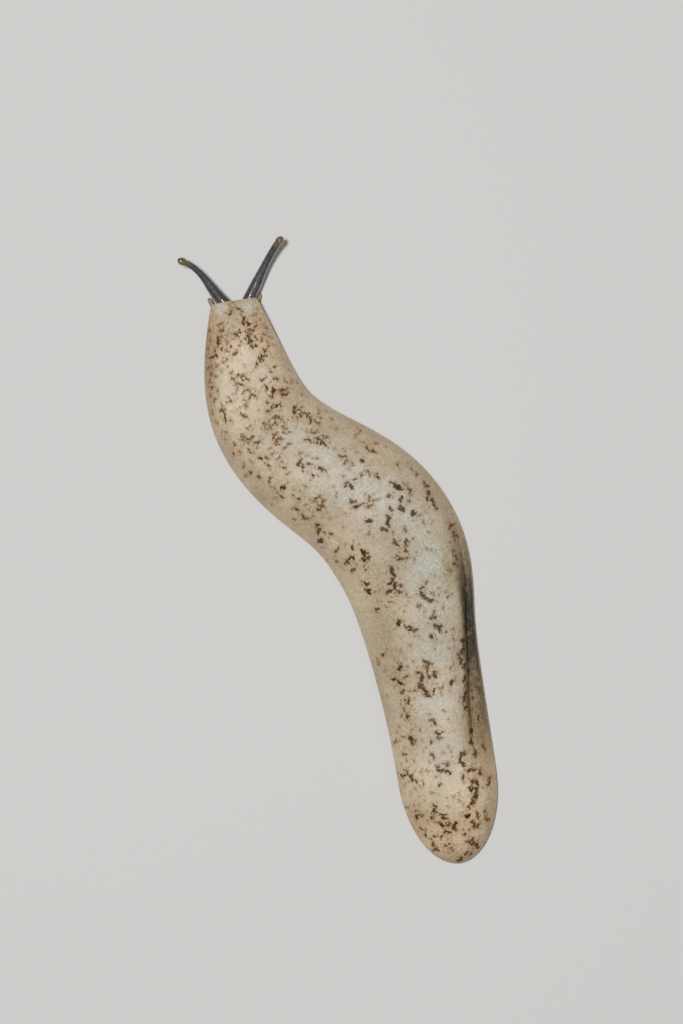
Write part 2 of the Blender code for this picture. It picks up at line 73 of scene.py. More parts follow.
# The mantle, in millimetres.
LIP_THICKNESS = 0.95
LIP_ROUND = 0.5
NARROW = 3.0  # below this half width the lip and the border shrink with it
MARGIN_LIFT = 0.45
HOOD_LIFT = 2.58
HOOD_FADE = 12.0
BORDER = 0.3
DOME_POWER = 2.5
DOME_FALL = 0.8
TUCK_PLACE = 65.0
TUCK_REACH = 15.0
TUCK_POWER = 4
TUCK_SWELL = 0.35
TUCK_INSET = (1.1, 2.8)
TUCK_ENDS = (59.0, 81.0)
TUCK_SHARE = 0.36
HOOD_LENGTH = 7.2
HOOD_SIDE = 0.7
HOOD_WALL = 0.2
BELLY = 1.5
UNDER_REACH = 0.7
TAIL_THINNING = 0.3
RING_STEP = 0.16
FRONT_ANGLES = (8, 20, 32, 45, 58, 72)  # degrees round the front lip where its sections stand
TAIL_ANGLE = 88
TAIL_SECTIONS = 72
LIP_STEPS = 5
TOP_STEPS = 74
TOP_CROWDING = 1.15  # above 1 the points of a section crowd towards the lip
UNDER_STEPS = 12

# The foot, in millimetres.
FOOT_SHARE = 0.38
FOOT_START = 4.2
FOOT_END = 95.6
TOE_ROUND = 3.2
HEEL_ROUND = 6.4
ROUND_ANGLES = (4, 86, 14)  # first and last angle and number of sections at the rounded toe and heel
SOLE_SHARE = 0.84
SOLE_EDGE = 0.35
SOLE_STEP = 0.2
SOLE_MARKS = 13
FURROW_STEP = 1.0
FURROW_DEPTH = 0.14
FURROW_POWER = 8
FURROW_FADE = 0.5  # share of their depth that the furrows lose towards the sole's edge
FOOT_SINK = 0.3
FOOT_SIDE = ((0.94, 0.12), (1.0, SOLE_EDGE), (1.0, 0.8), (0.97, BELLY + FOOT_SINK))

# The head, in millimetres.
GAP = 0.3
SNOUT_START = 1.0
SNOUT_ROUND = 2.8
SNOUT_WIDTH = 5.8
SNOUT_BOTTOM = 0.45
SNOUT_SIDES = 48
SNOUT_ANGLES = (10, 90, 18)
SNOUT_BACK = (6.0, HOOD_LENGTH + 0.7)
MOUTH_ALONG = 1.75
MOUTH_HEIGHT = 1.15
MOUTH_TILT = math.radians(-52)
LIP_RING = 0.72
LIP_RING_THICK = 0.3
LIP_STRETCH = 1.25
MOUTH_SLIT = (0.8, 0.2, 0.55)

STALKS = {
    "left": {
        "edge": (-18.1, 39.0), "tip": (-24.2, 44.9), "bow": -0.62, "radii": (1.02, 0.9, 0.66, 0.54, 0.53),
    },
    "right": {
        "edge": (-14.2, 38.9), "tip": (-9.2, 48.1), "bow": 0.25, "radii": (0.98, 0.92, 0.71, 0.59, 0.6),
    },
}
STALK_END = 0.9  # share of the way out from which the tip takes its direction
STALK_EDGE_HEIGHT = 1.6
STALK_TIP_HEIGHT = 4.2
STALK_BEND = 1.4
BOW_SCALE = 27 / 4
STALK_SIDES = 28
STALK_STEP = 0.09
STALK_RING_STEP = 0.42
STALK_RING_DEPTH = 0.01
BOSS_BACK = 2.4
EYE_RADIUS = 0.66
EYE_STRETCH = 1.25
EYE_ANGLES = (-48, 84, 22)
EYE_BACK = 0.75  # share of the rounded tip's half length that the stalk's last ring stays behind the tip
EYE_NECK = 0.97
BEAD_RADIUS = 0.2
BEAD_SINK = 0.75
BEAD_LIFT = 0.1

FEELERS = {
    "left": ((-18.0, 36.5, 0.9), (-19.6, 37.8, 0.75), (-20.3, 39.55, 0.72), (-19.9, 39.1, 0.42)),
    "right": ((-14.3, 36.4, 1.0), (-12.7, 37.8, 0.7), (-12.3, 40.4, 0.5), (-12.7, 39.4, 0.4)),
}
FEELER_RADIUS = 0.4
FEELER_TAPER = 0.1
FEELER_END = (0.86, 0.145)  # where along it a feeler starts to round off, and over what share
FEELER_SIDES = 18
FEELER_RINGS = 30
FORK_RING = 12  # the feeler's ring from which its branch grows
BRANCH_RADIUS = 0.3
BRANCH_END = (0.7, 0.31)
BRANCH_SIDES = 14
BRANCH_RINGS = 12

# Patches of the bake map: left, first row, right and last row of each.
TOP_PATCH = (0.01, 0.40, 0.99, 0.98)
UNDER_PATCH = (0.01, 0.38, 0.99, 0.21)
FOOT_PATCH = (0.01, 0.02, 0.99, 0.16)
SNOUT_PATCH = (0.82, 0.17, 0.99, 0.19)
LIPS_PATCH = (0.70, 0.17, 0.80, 0.19)
SLIT_PATCH = (0.60, 0.17, 0.69, 0.19)
SIDE_ROWS = {"left": 0.175, "right": 0.190}
ROW_HEIGHT = 0.012

# Dark flecks on the back, read off the photograph: place in its pixels, length in pixels, direction
# in degrees up from its right-hand side, and weight of the stroke.
FLECKS = (
    # Front edge and neck.
    (233, 306, 5, 10, 0.7), (241, 309, 9, 15, 0.9), (233, 311, 5, 40, 0.7), (233, 316, 7, 0, 0.9),
    (257, 315, 2, 0, 1.0), (246, 321, 6, -60, 1.3), (249, 326, 5, -50, 1.5), (245, 325, 4, 0, 1.0),
    (252, 332, 6, -20, 1.5), (248, 333, 4, 10, 1.1), (249, 336, 4, 80, 1.2), (250, 340, 6, -80, 1.5),
    (251, 344, 6, -70, 1.3), (254, 348, 6, -45, 1.6), (257, 328, 3, 0, 0.9), (257, 324, 2, 0, 0.7),
    (265, 327, 2, 0, 0.6), (265, 336, 3, 0, 1.1), (263, 341, 4, 60, 0.9), (269, 345, 5, 90, 0.7),
    (258, 341, 3, 0, 0.9), (264, 353, 6, -60, 1.1), (261, 360, 8, 60, 1.7), (268, 358, 3, 0, 1.0),
    (259, 366, 5, 45, 1.0), (221, 325, 6, 30, 0.7), (224, 333, 6, 20, 1.1), (219, 341, 8, 80, 1.5),
    (222, 337, 4, 60, 0.7), (221, 346, 5, 80, 1.1), (216, 358, 6, -60, 1.1), (217, 366, 5, 90, 0.7),
    (229, 337, 6, 0, 0.7), (234, 339, 4, 30, 0.6), (238, 335, 6, 40, 1.1), (241, 334, 4, 0, 1.0),
    (229, 344, 5, 60, 0.6), (232, 347, 4, 0, 0.7), (241, 347, 4, 50, 0.9), (238, 353, 5, 60, 1.0),
    (236, 357, 5, -30, 1.0), (228, 361, 4, 60, 1.0), (226, 364, 3, 30, 0.9), (230, 353, 4, 10, 0.6),
    # Left front flank.
    (209, 331, 5, 85, 0.7), (212, 341, 5, 80, 0.8), (209, 350, 6, 88, 0.7), (212, 358, 5, 85, 0.9),
    (210, 368, 6, 88, 0.9), (213, 375, 5, 80, 0.8), (210, 381, 5, 90, 0.8), (213, 388, 6, 85, 0.9),
    (211, 396, 5, -85, 0.7), (215, 402, 5, -80, 0.8), (217, 392, 4, 80, 0.6), (218, 377, 4, 80, 0.6),
    (214, 413, 5, -75, 0.7), (219, 424, 5, -70, 0.7), (224, 434, 5, -65, 0.7), (216, 350, 5, 70, 0.8),
    # Shoulders.
    (233, 374, 5, 20, 0.9), (224, 374, 2, 0, 0.5), (241, 377, 5, 60, 1.0), (246, 376, 4, 0, 0.9),
    (248, 379, 6, 30, 0.9), (244, 381, 4, 70, 0.8), (234, 381, 7, -50, 0.9), (238, 385, 6, -40, 1.0),
    (242, 386, 7, 0, 1.2), (239, 391, 4, 40, 0.9), (236, 395, 3, 0, 0.7), (246, 393, 5, 20, 0.8),
    (250, 392, 5, 0, 0.9), (255, 396, 8, -20, 1.2), (252, 399, 5, -45, 1.0), (264, 384, 8, -50, 1.1),
    (267, 389, 6, -70, 1.1), (276, 369, 3, 0, 1.0), (278, 380, 4, 90, 1.2), (286, 383, 6, -60, 0.7),
    (292, 384, 2, 0, 0.5), (276, 391, 8, -20, 1.5), (281, 392, 6, -40, 1.1), (286, 390, 7, 60, 1.0),
    (284, 397, 7, -10, 1.0), (274, 400, 4, 0, 1.0), (269, 404, 4, 0, 1.1), (276, 409, 10, 12, 1.2),
    (281, 407, 5, -40, 1.0), (269, 412, 6, 45, 1.0), (228, 403, 3, 0, 0.9), (232, 402, 4, 60, 1.0),
    (223, 408, 8, -78, 0.9), (225, 414, 9, -75, 1.1), (227, 421, 8, -60, 1.1), (246, 400, 3, 0, 0.7),
    (248, 405, 5, 30, 0.8), (248, 408, 4, 60, 0.9), (239, 412, 3, 0, 0.6), (243, 416, 6, -60, 0.8),
    (246, 420, 7, -60, 1.0), (266, 424, 4, 10, 1.0), (269, 423, 4, 50, 0.8), (277, 420, 8, 10, 1.2),
    (281, 419, 6, -60, 1.0), (276, 425, 6, 30, 0.8), (286, 428, 7, 0, 0.9), (294, 411, 7, 70, 1.2),
    (296, 408, 4, 0, 0.9), (302, 409, 5, 20, 0.7), (303, 414, 5, -50, 1.0), (298, 418, 3, 0, 0.7),
    (308, 415, 6, -45, 1.1), (310, 418, 6, -30, 1.0), (320, 411, 5, 60, 0.8), (313, 422, 7, -65, 0.9),
    (319, 423, 5, 10, 0.7), (316, 432, 9, 28, 1.0), (310, 441, 6, 10, 1.1), (318, 440, 6, -30, 1.1),
    (322, 445, 9, -40, 1.4), (325, 437, 6, -30, 0.9), (318, 444, 5, 10, 0.9),
    # Left side of the front half.
    (249, 429, 4, 40, 0.9), (245, 438, 8, -45, 1.0), (249, 442, 8, -40, 1.0), (254, 438, 6, 70, 1.0),
    (258, 445, 7, 0, 1.0), (260, 442, 4, 60, 0.8), (236, 445, 5, -60, 0.6), (241, 452, 3, 0, 0.5),
    (236, 454, 4, -50, 1.0), (252, 451, 9, -45, 0.7), (255, 453, 4, 0, 0.6), (261, 460, 8, -30, 1.2),
    (268, 459, 7, -20, 1.0), (270, 463, 8, 0, 0.9), (271, 449, 5, 30, 0.6), (274, 455, 5, 0, 0.6),
    (281, 458, 4, 20, 0.6), (283, 463, 4, 0, 0.7), (276, 437, 8, -50, 1.1), (280, 441, 8, 20, 1.2),
    (271, 431, 8, -50, 0.9), (269, 425, 5, 10, 0.7), (278, 427, 4, 0, 0.7), (290, 445, 6, 20, 0.7),
    (286, 449, 6, 40, 0.7), (286, 434, 5, 0, 0.6), (286, 468, 5, -20, 1.0), (289, 474, 3, 0, 0.5),
    (302, 454, 5, 30, 0.8), (304, 463, 9, -50, 1.1), (305, 468, 8, -30, 1.1), (309, 467, 8, -60, 1.0),
    (314, 475, 5, -20, 1.0), (321, 470, 9, -30, 1.0), (325, 472, 5, 0, 0.8), (318, 459, 4, 0, 0.8),
    (252, 473, 6, -25, 1.1), (260, 477, 6, -40, 1.2), (271, 480, 6, 60, 1.1), (283, 486, 7, 80, 1.5),
    (276, 489, 3, 0, 0.5), (245, 466, 8, 62, 0.6), (245, 475, 6, 40, 0.6), (277, 498, 4, 0, 0.6),
    (283, 497, 5, -30, 1.0), (273, 505, 4, 0, 0.6), (299, 500, 6, -15, 1.2), (306, 487, 4, 0, 0.7),
    (306, 505, 4, 10, 0.7), (298, 510, 5, -10, 1.2), (293, 510, 5, -30, 0.7), (305, 516, 7, -40, 1.6),
    (308, 519, 5, -30, 1.0), (295, 519, 4, 0, 0.5), (318, 498, 9, 30, 1.0), (324, 500, 5, 60, 0.9),
    (321, 505, 8, 30, 1.0), (315, 501, 5, 10, 0.7), (319, 511, 7, -50, 0.9), (323, 504, 5, 60, 0.8),
    (317, 527, 6, -45, 1.1), (319, 531, 8, 75, 1.4), (331, 534, 4, 0, 1.3), (321, 541, 6, 0, 1.6),
    (338, 551, 6, 25, 1.5), (337, 561, 3, 0, 1.0),
    # Middle of the back.
    (342, 458, 8, -10, 1.0), (348, 462, 7, -30, 1.0), (353, 467, 6, 20, 0.7), (362, 461, 4, 0, 1.2),
    (368, 450, 7, -60, 1.1), (373, 452, 8, -25, 1.2), (376, 444, 5, 0, 0.7), (358, 435, 4, -10, 0.8),
    (386, 447, 2, 0, 0.6), (398, 465, 4, -30, 0.6), (377, 476, 8, -20, 1.1), (370, 472, 8, -35, 0.6),
    (362, 476, 6, 60, 0.9), (355, 479, 6, 20, 0.9), (347, 484, 6, -30, 1.0), (352, 486, 8, -20, 1.3),
    (346, 487, 4, 0, 0.9), (392, 484, 7, -30, 1.1), (397, 488, 8, -20, 2.0), (400, 491, 5, -60, 1.4),
    (407, 489, 11, -45, 0.9), (410, 493, 7, -50, 0.8), (417, 476, 6, -45, 0.7), (412, 470, 4, -40, 0.5),
    (423, 485, 8, -45, 1.0), (427, 487, 6, 0, 1.0), (428, 493, 6, -70, 1.0), (427, 498, 8, -70, 1.0),
    (432, 503, 9, -60, 1.3), (435, 507, 6, -45, 1.0), (389, 497, 5, 0, 1.1), (369, 496, 3, 0, 0.7),
    (352, 503, 8, -45, 1.3), (356, 507, 8, -20, 1.2), (362, 505, 8, 15, 0.9), (370, 502, 8, 10, 0.8),
    (373, 500, 5, 40, 0.8), (371, 508, 8, -10, 0.9), (367, 507, 5, 0, 0.9), (401, 500, 6, 20, 1.2),
    (403, 507, 10, 0, 1.7), (407, 502, 5, -60, 1.0), (391, 509, 6, -20, 1.4), (412, 513, 7, 60, 1.7),
    (414, 511, 5, 0, 1.0), (419, 515, 4, 0, 0.6), (424, 522, 7, -45, 0.6), (386, 518, 8, -80, 1.3),
    (387, 523, 8, 80, 1.7), (382, 527, 6, 30, 1.3), (386, 530, 5, -20, 1.1), (368, 523, 8, -55, 1.5),
    (369, 533, 5, 20, 0.6), (405, 528, 6, 20, 0.8), (393, 532, 6, -60, 0.8), (394, 542, 8, -45, 1.3),
    (397, 543, 5, 0, 1.0), (405, 543, 8, -70, 1.2), (407, 541, 4, 0, 0.8), (405, 551, 4, 0, 1.0),
    (395, 557, 6, 20, 0.8), (400, 557, 8, -50, 1.3), (404, 558, 6, 10, 1.0), (392, 568, 9, -52, 2.0),
    (394, 574, 6, -60, 1.2), (353, 547, 5, -50, 1.2), (352, 556, 6, 20, 1.5), (347, 560, 7, 45, 1.4),
    (346, 564, 4, 0, 1.1), (352, 569, 6, 45, 1.1), (363, 553, 9, -70, 1.9), (367, 552, 6, -30, 1.2),
    (364, 558, 5, 0, 1.4), (370, 558, 6, -60, 1.3), (366, 569, 3, 0, 0.9),
    # Right flank.
    (449, 528, 9, -65, 1.3), (454, 535, 8, -60, 1.2), (455, 540, 5, 60, 0.9), (458, 537, 4, 0, 0.6),
    (450, 553, 8, -60, 0.8), (454, 558, 9, -65, 1.3), (456, 564, 7, -80, 1.1), (448, 568, 6, -80, 0.6),
    (467, 561, 4, 0, 0.8), (462, 638, 7, 50, 1.8), (460, 648, 9, 70, 1.2), (463, 646, 7, -80, 1.1),
    (459, 652, 7, 20, 1.1), (463, 652, 6, 60, 1.0), (461, 660, 8, -70, 1.3), (464, 664, 8, 70, 1.4),
    (465, 678, 8, -80, 1.2), (466, 683, 7, 60, 1.1), (467, 692, 7, 60, 1.3), (471, 691, 5, -45, 1.2),
    (465, 697, 9, 80, 1.5), (474, 699, 8, 60, 0.9), (465, 705, 7, 60, 1.2), (476, 705, 4, 0, 0.6),
    (477, 716, 8, 80, 1.1), (471, 729, 6, 80, 1.4), (472, 740, 8, -75, 1.4), (475, 751, 6, 80, 1.2),
    (482, 747, 9, -75, 1.0),
    # Rear half, upper part.
    (392, 581, 10, -60, 1.4), (394, 585, 8, -80, 1.5), (400, 584, 6, -20, 1.2), (398, 590, 8, -30, 1.3),
    (389, 591, 7, 0, 1.4), (365, 585, 8, -50, 1.4), (368, 591, 8, -80, 1.6), (392, 601, 8, -45, 0.6),
    (421, 588, 6, 0, 1.0), (425, 581, 5, 70, 0.7), (420, 592, 6, -60, 1.0), (424, 597, 10, -40, 1.3),
    (428, 597, 9, 80, 1.4), (417, 605, 6, -60, 1.0), (420, 606, 4, 20, 0.8), (447, 596, 4, 0, 0.7),
    (449, 571, 8, 70, 0.5), (378, 609, 6, 40, 1.3), (432, 616, 9, 20, 1.2), (435, 612, 6, -60, 0.8),
    (401, 620, 8, -45, 1.5), (406, 626, 8, -35, 1.3), (410, 629, 6, 0, 1.2), (413, 627, 6, 60, 1.0),
    (404, 610, 2, 0, 0.5), (396, 626, 2, 0, 0.5), (437, 625, 9, -10, 1.4), (438, 628, 5, -60, 1.0),
    (430, 634, 4, 0, 1.4), (445, 631, 2, 0, 0.8), (383, 653, 4, 0, 1.2), (378, 661, 10, -80, 0.7),
    (393, 678, 4, 0, 1.3), (399, 665, 8, 70, 1.5), (399, 661, 4, 0, 0.9), (405, 673, 8, 50, 0.9),
    (401, 679, 8, 0, 1.1), (428, 658, 9, 40, 1.3), (424, 658, 6, -20, 1.0), (426, 664, 8, 60, 1.2),
    (435, 671, 8, 60, 1.2), (417, 670, 7, -10, 1.2), (422, 675, 9, -70, 1.3), (421, 680, 8, 60, 1.4),
    (427, 671, 8, -60, 1.0), (429, 674, 5, 20, 1.0), (420, 684, 9, -45, 2.0), (424, 688, 9, -30, 2.0),
    (428, 691, 8, 0, 1.4), (432, 688, 8, 60, 1.2), (450, 680, 5, 60, 1.2), (438, 685, 4, 20, 0.6),
    (442, 684, 5, 10, 0.7), (402, 690, 6, 45, 1.2), (406, 697, 11, 85, 1.1), (409, 689, 3, 0, 0.6),
    (404, 708, 7, -70, 0.9), (408, 713, 7, -60, 1.2), (431, 717, 5, 0, 0.9), (414, 688, 2, 0, 0.6),
    # Rear half, lower part and tail.
    (432, 720, 8, -80, 0.9), (442, 729, 3, 0, 0.9), (435, 732, 8, -60, 1.2), (438, 735, 5, 0, 1.1),
    (431, 739, 6, 40, 0.8), (411, 736, 9, -70, 1.3), (413, 739, 7, 60, 1.0), (403, 735, 4, 0, 0.7),
    (395, 740, 7, 60, 0.9), (404, 752, 5, -20, 1.3), (431, 752, 7, -30, 1.3), (405, 767, 5, 40, 0.8),
    (403, 773, 6, 20, 1.3), (407, 771, 5, 60, 1.1), (411, 776, 9, -65, 1.4), (413, 780, 7, -70, 1.1),
    (421, 768, 5, 40, 0.5), (423, 783, 6, 60, 0.6), (439, 781, 3, 0, 1.2), (431, 789, 4, 0, 0.8),
    (447, 761, 6, 60, 1.0), (439, 766, 8, 50, 1.2), (440, 769, 8, -20, 1.6), (446, 770, 8, -60, 1.4),
    (443, 760, 5, 10, 0.8), (461, 751, 9, 80, 1.6), (463, 759, 10, 85, 1.5), (465, 751, 6, 70, 1.1),
    (468, 766, 6, 60, 1.1), (462, 774, 7, 80, 1.1), (473, 766, 6, 40, 1.1), (478, 770, 9, -80, 1.3),
    (472, 777, 8, 30, 1.4), (477, 781, 8, -60, 1.3), (472, 784, 8, 70, 1.3), (476, 787, 9, 80, 1.5),
    (468, 787, 8, -80, 1.2), (473, 792, 9, 70, 1.5), (470, 798, 9, 85, 1.5), (476, 793, 8, -75, 1.2),
    (472, 800, 7, 20, 1.4), (469, 804, 6, 60, 1.1), (487, 780, 9, 85, 1.2), (488, 775, 6, 70, 0.9),
    (453, 794, 4, 0, 0.6), (433, 803, 7, -50, 1.0), (434, 808, 8, 40, 1.1), (431, 814, 6, 60, 1.1),
    (436, 811, 5, 0, 0.9), (443, 812, 8, -40, 1.4), (446, 814, 6, 20, 1.1), (441, 820, 8, -30, 1.1),
    (442, 824, 8, -20, 1.3), (448, 821, 8, 30, 1.1), (448, 826, 8, 10, 1.1), (454, 821, 8, 50, 1.2),
    (455, 826, 8, -30, 1.1), (449, 830, 5, 0, 1.0), (445, 829, 6, 30, 0.9), (465, 816, 7, -40, 2.0),
    (464, 832, 4, 0, 0.9), (417, 815, 6, 30, 1.0), (416, 809, 4, 0, 0.9), (421, 813, 6, 10, 0.8),
    (422, 826, 5, 0, 0.7), (408, 806, 5, 10, 0.8), (478, 813, 9, 60, 1.4), (475, 820, 9, 70, 1.8),
    (478, 825, 7, 20, 1.2), (474, 824, 6, 60, 1.1), (484, 810, 5, -70, 1.1), (485, 816, 4, 0, 1.0),
    (488, 818, 5, -60, 0.9), (486, 813, 3, 0, 0.8), (432, 844, 8, -50, 1.2), (435, 850, 8, -20, 1.3),
    (426, 833, 6, 40, 0.9), (435, 834, 5, 0, 0.8), (431, 836, 4, 60, 0.8), (442, 834, 5, 10, 0.9),
    (448, 841, 5, 70, 0.8), (450, 846, 5, 20, 0.8), (446, 843, 4, 0, 0.7), (469, 840, 8, -20, 1.4),
    (476, 843, 9, -25, 1.6), (472, 838, 5, 10, 1.0), (466, 852, 7, 40, 1.1), (460, 858, 9, 30, 1.3),
    (471, 854, 6, 0, 0.8),
)
STRAY_FLECKS = 260
PEPPER = 1000
STROKE_STEP = 0.08  # millimetres from one disc of a stroke to the next
STROKE_RADIUS = (0.085, 0.105)  # half width of the faintest stroke, and what a full weight adds
STROKE_DARKNESS = (0.58, 0.36)
FLECK_REACH = 0.6  # how far round a stroke its depth is counted, in millimetres
STAIN_REACH = 0.5
CROWD_REACH = 0.9  # how far round a fleck fine freckles gather, in millimetres
CROWD_FULL = 3.0
FLECK_RISE = 0.6  # how much of a difference in height counts when a fleck is laid on a steep flank
FINE_PLACE = 17.0  # in front of this y, in millimetres, the flecks are finer and closer
FINE_SHARE = 0.84
COARSE_SHARE = 0.96
# Painted shade of the tucked fold on the right flank, partly the flank's darker skin.
FOLD_SHADE = (0.78, 0.98)  # where the flank starts to darken and is dark, as shares of the way to the fold
FOLD_DARKNESS = 0.78
FOLD_POWER = 0.6
DEEP_DARKNESS = 0.3
DEEP_PLACE = 61.0  # where along the body the fold is darkest
DEEP_REACH = 6.5
FOLD_HEAD = 54.0  # where along the body its shade spreads widest up the flank
FOLD_HEAD_REACH = 4.0
FOLD_HEAD_SPREAD = 0.16
FOLD_RIM = 1.2  # how far in from the margin's tip it is paler again, in millimetres
FOLD_RIM_PALER = 0.07
RIM_SHIFT = 2.2  # how far the painted shade at the rim moves out past the left margin in the rear half, in millimetres
RIM_PLACE = (48.0, 12.0)  # where along the body it starts to move, and over what length
GRANULE = 0.62  # size of the skin's granules, in millimetres
GRANULE_HEIGHT = 0.07
UNDULATION = (6.0, 0.09)  # size and height of the back's soft swellings, in millimetres
SWELLING = (1.9, 0.05)
STREAK = (2.8, 0.45, 0.045)  # length, width and height of the streaks on the flanks
CREASE_WANDER = (5.0, 0.06)
CREASE_FADE = 4.0
TIP_BROWN = (0.75, 0.7)  # how far round a stalk's tip it is brown, and over what length that fades

# Soft patches of colour, in the photograph's pixels: middle, half size across and down, and strength.
# Pale grey skin, mostly along the crest, partly a painted sheen.
PALE_SHEEN_PATCHES = (
    (300, 440, 22, 22, 0.6), (322, 462, 24, 24, 0.8), (350, 484, 24, 24, 1.0), (385, 500, 26, 26, 1.0),
    (412, 520, 24, 24, 0.9), (428, 560, 26, 26, 1.0), (436, 600, 24, 24, 0.9), (438, 645, 24, 24, 0.8),
    (441, 700, 24, 24, 0.8), (446, 755, 24, 24, 0.7), (225, 398, 14, 14, 0.4), (262, 375, 12, 12, 0.3),
    (221, 309, 6, 6, 0.8), (250, 309, 6, 6, 0.7),
)
GOLD_PATCHES = (
    (242, 366, 26, 34, 1.0), (236, 402, 22, 28, 1.0), (262, 384, 12, 14, 0.6), (458, 782, 26, 30, 0.8),
    (444, 712, 12, 46, 0.5), (440, 838, 26, 14, 0.5), (300, 470, 26, 14, 0.4), (430, 770, 20, 30, 0.6),
)
# Painted shade: broad soft darker patches over the back.
PAINTED_SHADE_PATCHES = (
    (408, 560, 46, 50, 1.0), (384, 650, 26, 70, 1.0), (430, 640, 30, 40, 0.7), (460, 850, 30, 16, 0.6),
    (238, 322, 20, 20, 0.5), (322, 505, 34, 26, 0.7), (436, 755, 28, 40, 0.45), (340, 470, 40, 20, 0.2),
    (209, 360, 10, 60, 0.8), (300, 400, 20, 20, 0.2),
)
PEACH_PATCHES = (
    (318, 408, 34, 14, 0.7), (288, 381, 22, 16, 1.0), (346, 522, 22, 22, 0.7), (404, 724, 12, 34, 0.7),
    (440, 838, 30, 18, 0.7), (352, 596, 16, 30, 0.4), (262, 340, 8, 16, 0.5), (392, 445, 34, 10, 0.4),
    (380, 660, 12, 40, 0.4), (486, 790, 8, 50, 0.5),
)
# Brown mottling, partly painted shade along the left edge and on the flanks.
BROWN_AND_SHADE_PATCHES = (
    (207, 352, 9, 46, 1.0), (211, 402, 6, 30, 0.7), (256, 335, 8, 22, 0.3), (223, 338, 13, 20, 0.45),
    (320, 440, 16, 9, 0.3), (378, 442, 24, 8, 0.3), (424, 488, 12, 20, 0.25), (450, 548, 7, 24, 0.4),
    (336, 515, 14, 8, 0.3), (262, 498, 14, 9, 0.5), (478, 742, 12, 46, 0.6), (230, 450, 8, 20, 0.4),
    (402, 700, 10, 30, 0.3), (411, 742, 8, 14, 0.5), (452, 860, 34, 10, 0.8), (416, 830, 12, 18, 0.45),
    (488, 800, 7, 40, 0.4), (380, 628, 11, 50, 0.5),
)

# Soft creases along the back: where each starts and ends along the body, its share of the half width
# (+ to the right), its depth and its width in millimetres.
CREASES = (
    (33.0, 49.0, -0.70, 0.24, 0.55),
    (17.0, 36.0, 0.60, 0.14, 0.80),
    (24.0, 40.0, 0.78, 0.12, 0.50),
    (62.0, 92.0, 0.58, 0.14, 0.60),
    (56.0, 80.0, -0.66, 0.10, 0.60),
    (4.0, 18.0, -0.72, 0.10, 0.60),
    (76.0, 95.0, -0.40, 0.08, 0.80),
)

# Colours: red, green and blue of the linear light, singly or as the two that run into each other.
TAN = ((0.348, 0.257, 0.127), (0.459, 0.351, 0.178))
GOLDEN = (0.99, 0.675, 0.300)
PEACH = (0.62, 0.405, 0.215)
# Pale grey of the crest, partly painted sheen.
PALE_SHEEN = (0.53, 0.505, 0.365)
# Tint of the painted shade, multiplied in.
PAINTED_SHADE_TINT = (0.72, 0.79, 0.79)
# Painted shade along the back's margins.
RIM_PAINTED_SHADE = (0.30, 0.205, 0.115)
# Brown mottling, partly painted shade.
FLANK_BROWN_AND_SHADE = (0.20, 0.125, 0.065)
# Painted shade of the tucked fold, partly the flank's darker skin.
FOLD_PAINTED_SHADE = (0.022, 0.021, 0.013)
# Colour of the painted glints.
GLINT = (0.88, 0.88, 0.82)
SMUDGE = (0.20, 0.11, 0.05)
FRECKLE = (0.11, 0.062, 0.03)
HALO = (0.20, 0.115, 0.055)
INK = ((0.085, 0.044, 0.018), (0.014, 0.009, 0.005))
GREY_INK = (0.050, 0.050, 0.042)
SOLE = ((0.56, 0.47, 0.37), (0.46, 0.39, 0.31))
HEAD = ((0.33, 0.25, 0.20), (0.20, 0.165, 0.15))
STALK = ((0.016, 0.018, 0.021), (0.034, 0.037, 0.041))
STALK_TIP = ((0.085, 0.062, 0.034), (0.055, 0.040, 0.022))
FEELER = ((0.16, 0.105, 0.072), (0.105, 0.074, 0.052))
BEAD = ((0.006, 0.005, 0.005), (0.02, 0.014, 0.01))
FLOOR = (0.72, 0.71, 0.69)


def fade(value):
    value = np.clip(value, 0.0, 1.0)
    return value * value * (3 - 2 * value)


def spline(knots, values):
    """A smooth curve through the values at the knots, as a function of an array."""
    knots = np.array(knots, float)
    values = np.array(values, float)
    step = np.diff(knots)
    slope = np.diff(values) / step
    count = len(knots)
    matrix = np.eye(count)
    right = np.zeros(count)
    for i in range(1, count - 1):
        matrix[i, i - 1 : i + 2] = step[i - 1], 2 * (step[i - 1] + step[i]), step[i]
        right[i] = 6 * (slope[i] - slope[i - 1])
    bend = np.linalg.solve(matrix, right)

    def at(place):
        i = np.clip(np.searchsorted(knots, place, side="right") - 1, 0, count - 2)
        far = place - knots[i]
        start = slope[i] - step[i] * (2 * bend[i] + bend[i + 1]) / 6
        return values[i] + far * (start + far * (bend[i] / 2 + far * (bend[i + 1] - bend[i]) / (6 * step[i])))

    return at


COLUMNS = list(zip(*STATIONS))
line_x, line_y, station_width, station_height = (spline(COLUMNS[0], column) for column in COLUMNS[1:])


def closing(along):
    beyond = np.maximum(along - TAIL_START, 0.0) / (LENGTH - TAIL_START)
    return np.sqrt(np.maximum(1 - beyond * beyond, 0.0))


def half_width(along):
    return station_width(np.minimum(along, TAIL_START)) * closing(along)


def margin_low(along):
    return HOOD_LIFT + (MARGIN_LIFT - HOOD_LIFT) * fade(along / HOOD_FADE)


def margin_high(along):
    return margin_low(along) + LIP_THICKNESS


def back_height(along):
    return margin_high(along) + (station_height(along) - margin_high(along)) * closing(along)


def tuck(along):
    return np.exp(-(((along - TUCK_PLACE) / TUCK_REACH) ** TUCK_POWER))


def narrowing(half):
    return np.minimum(1.0, half / NARROW)


def tuck_inset(along):
    near, far = TUCK_INSET
    start, end = TUCK_ENDS
    inset = near + (far - near) * fade((along - start) / (end - start))
    return np.minimum(inset, TUCK_SHARE * half_width(along))


def dome(share):
    return (1 - np.minimum(share, 1.0) ** DOME_POWER) ** DOME_FALL


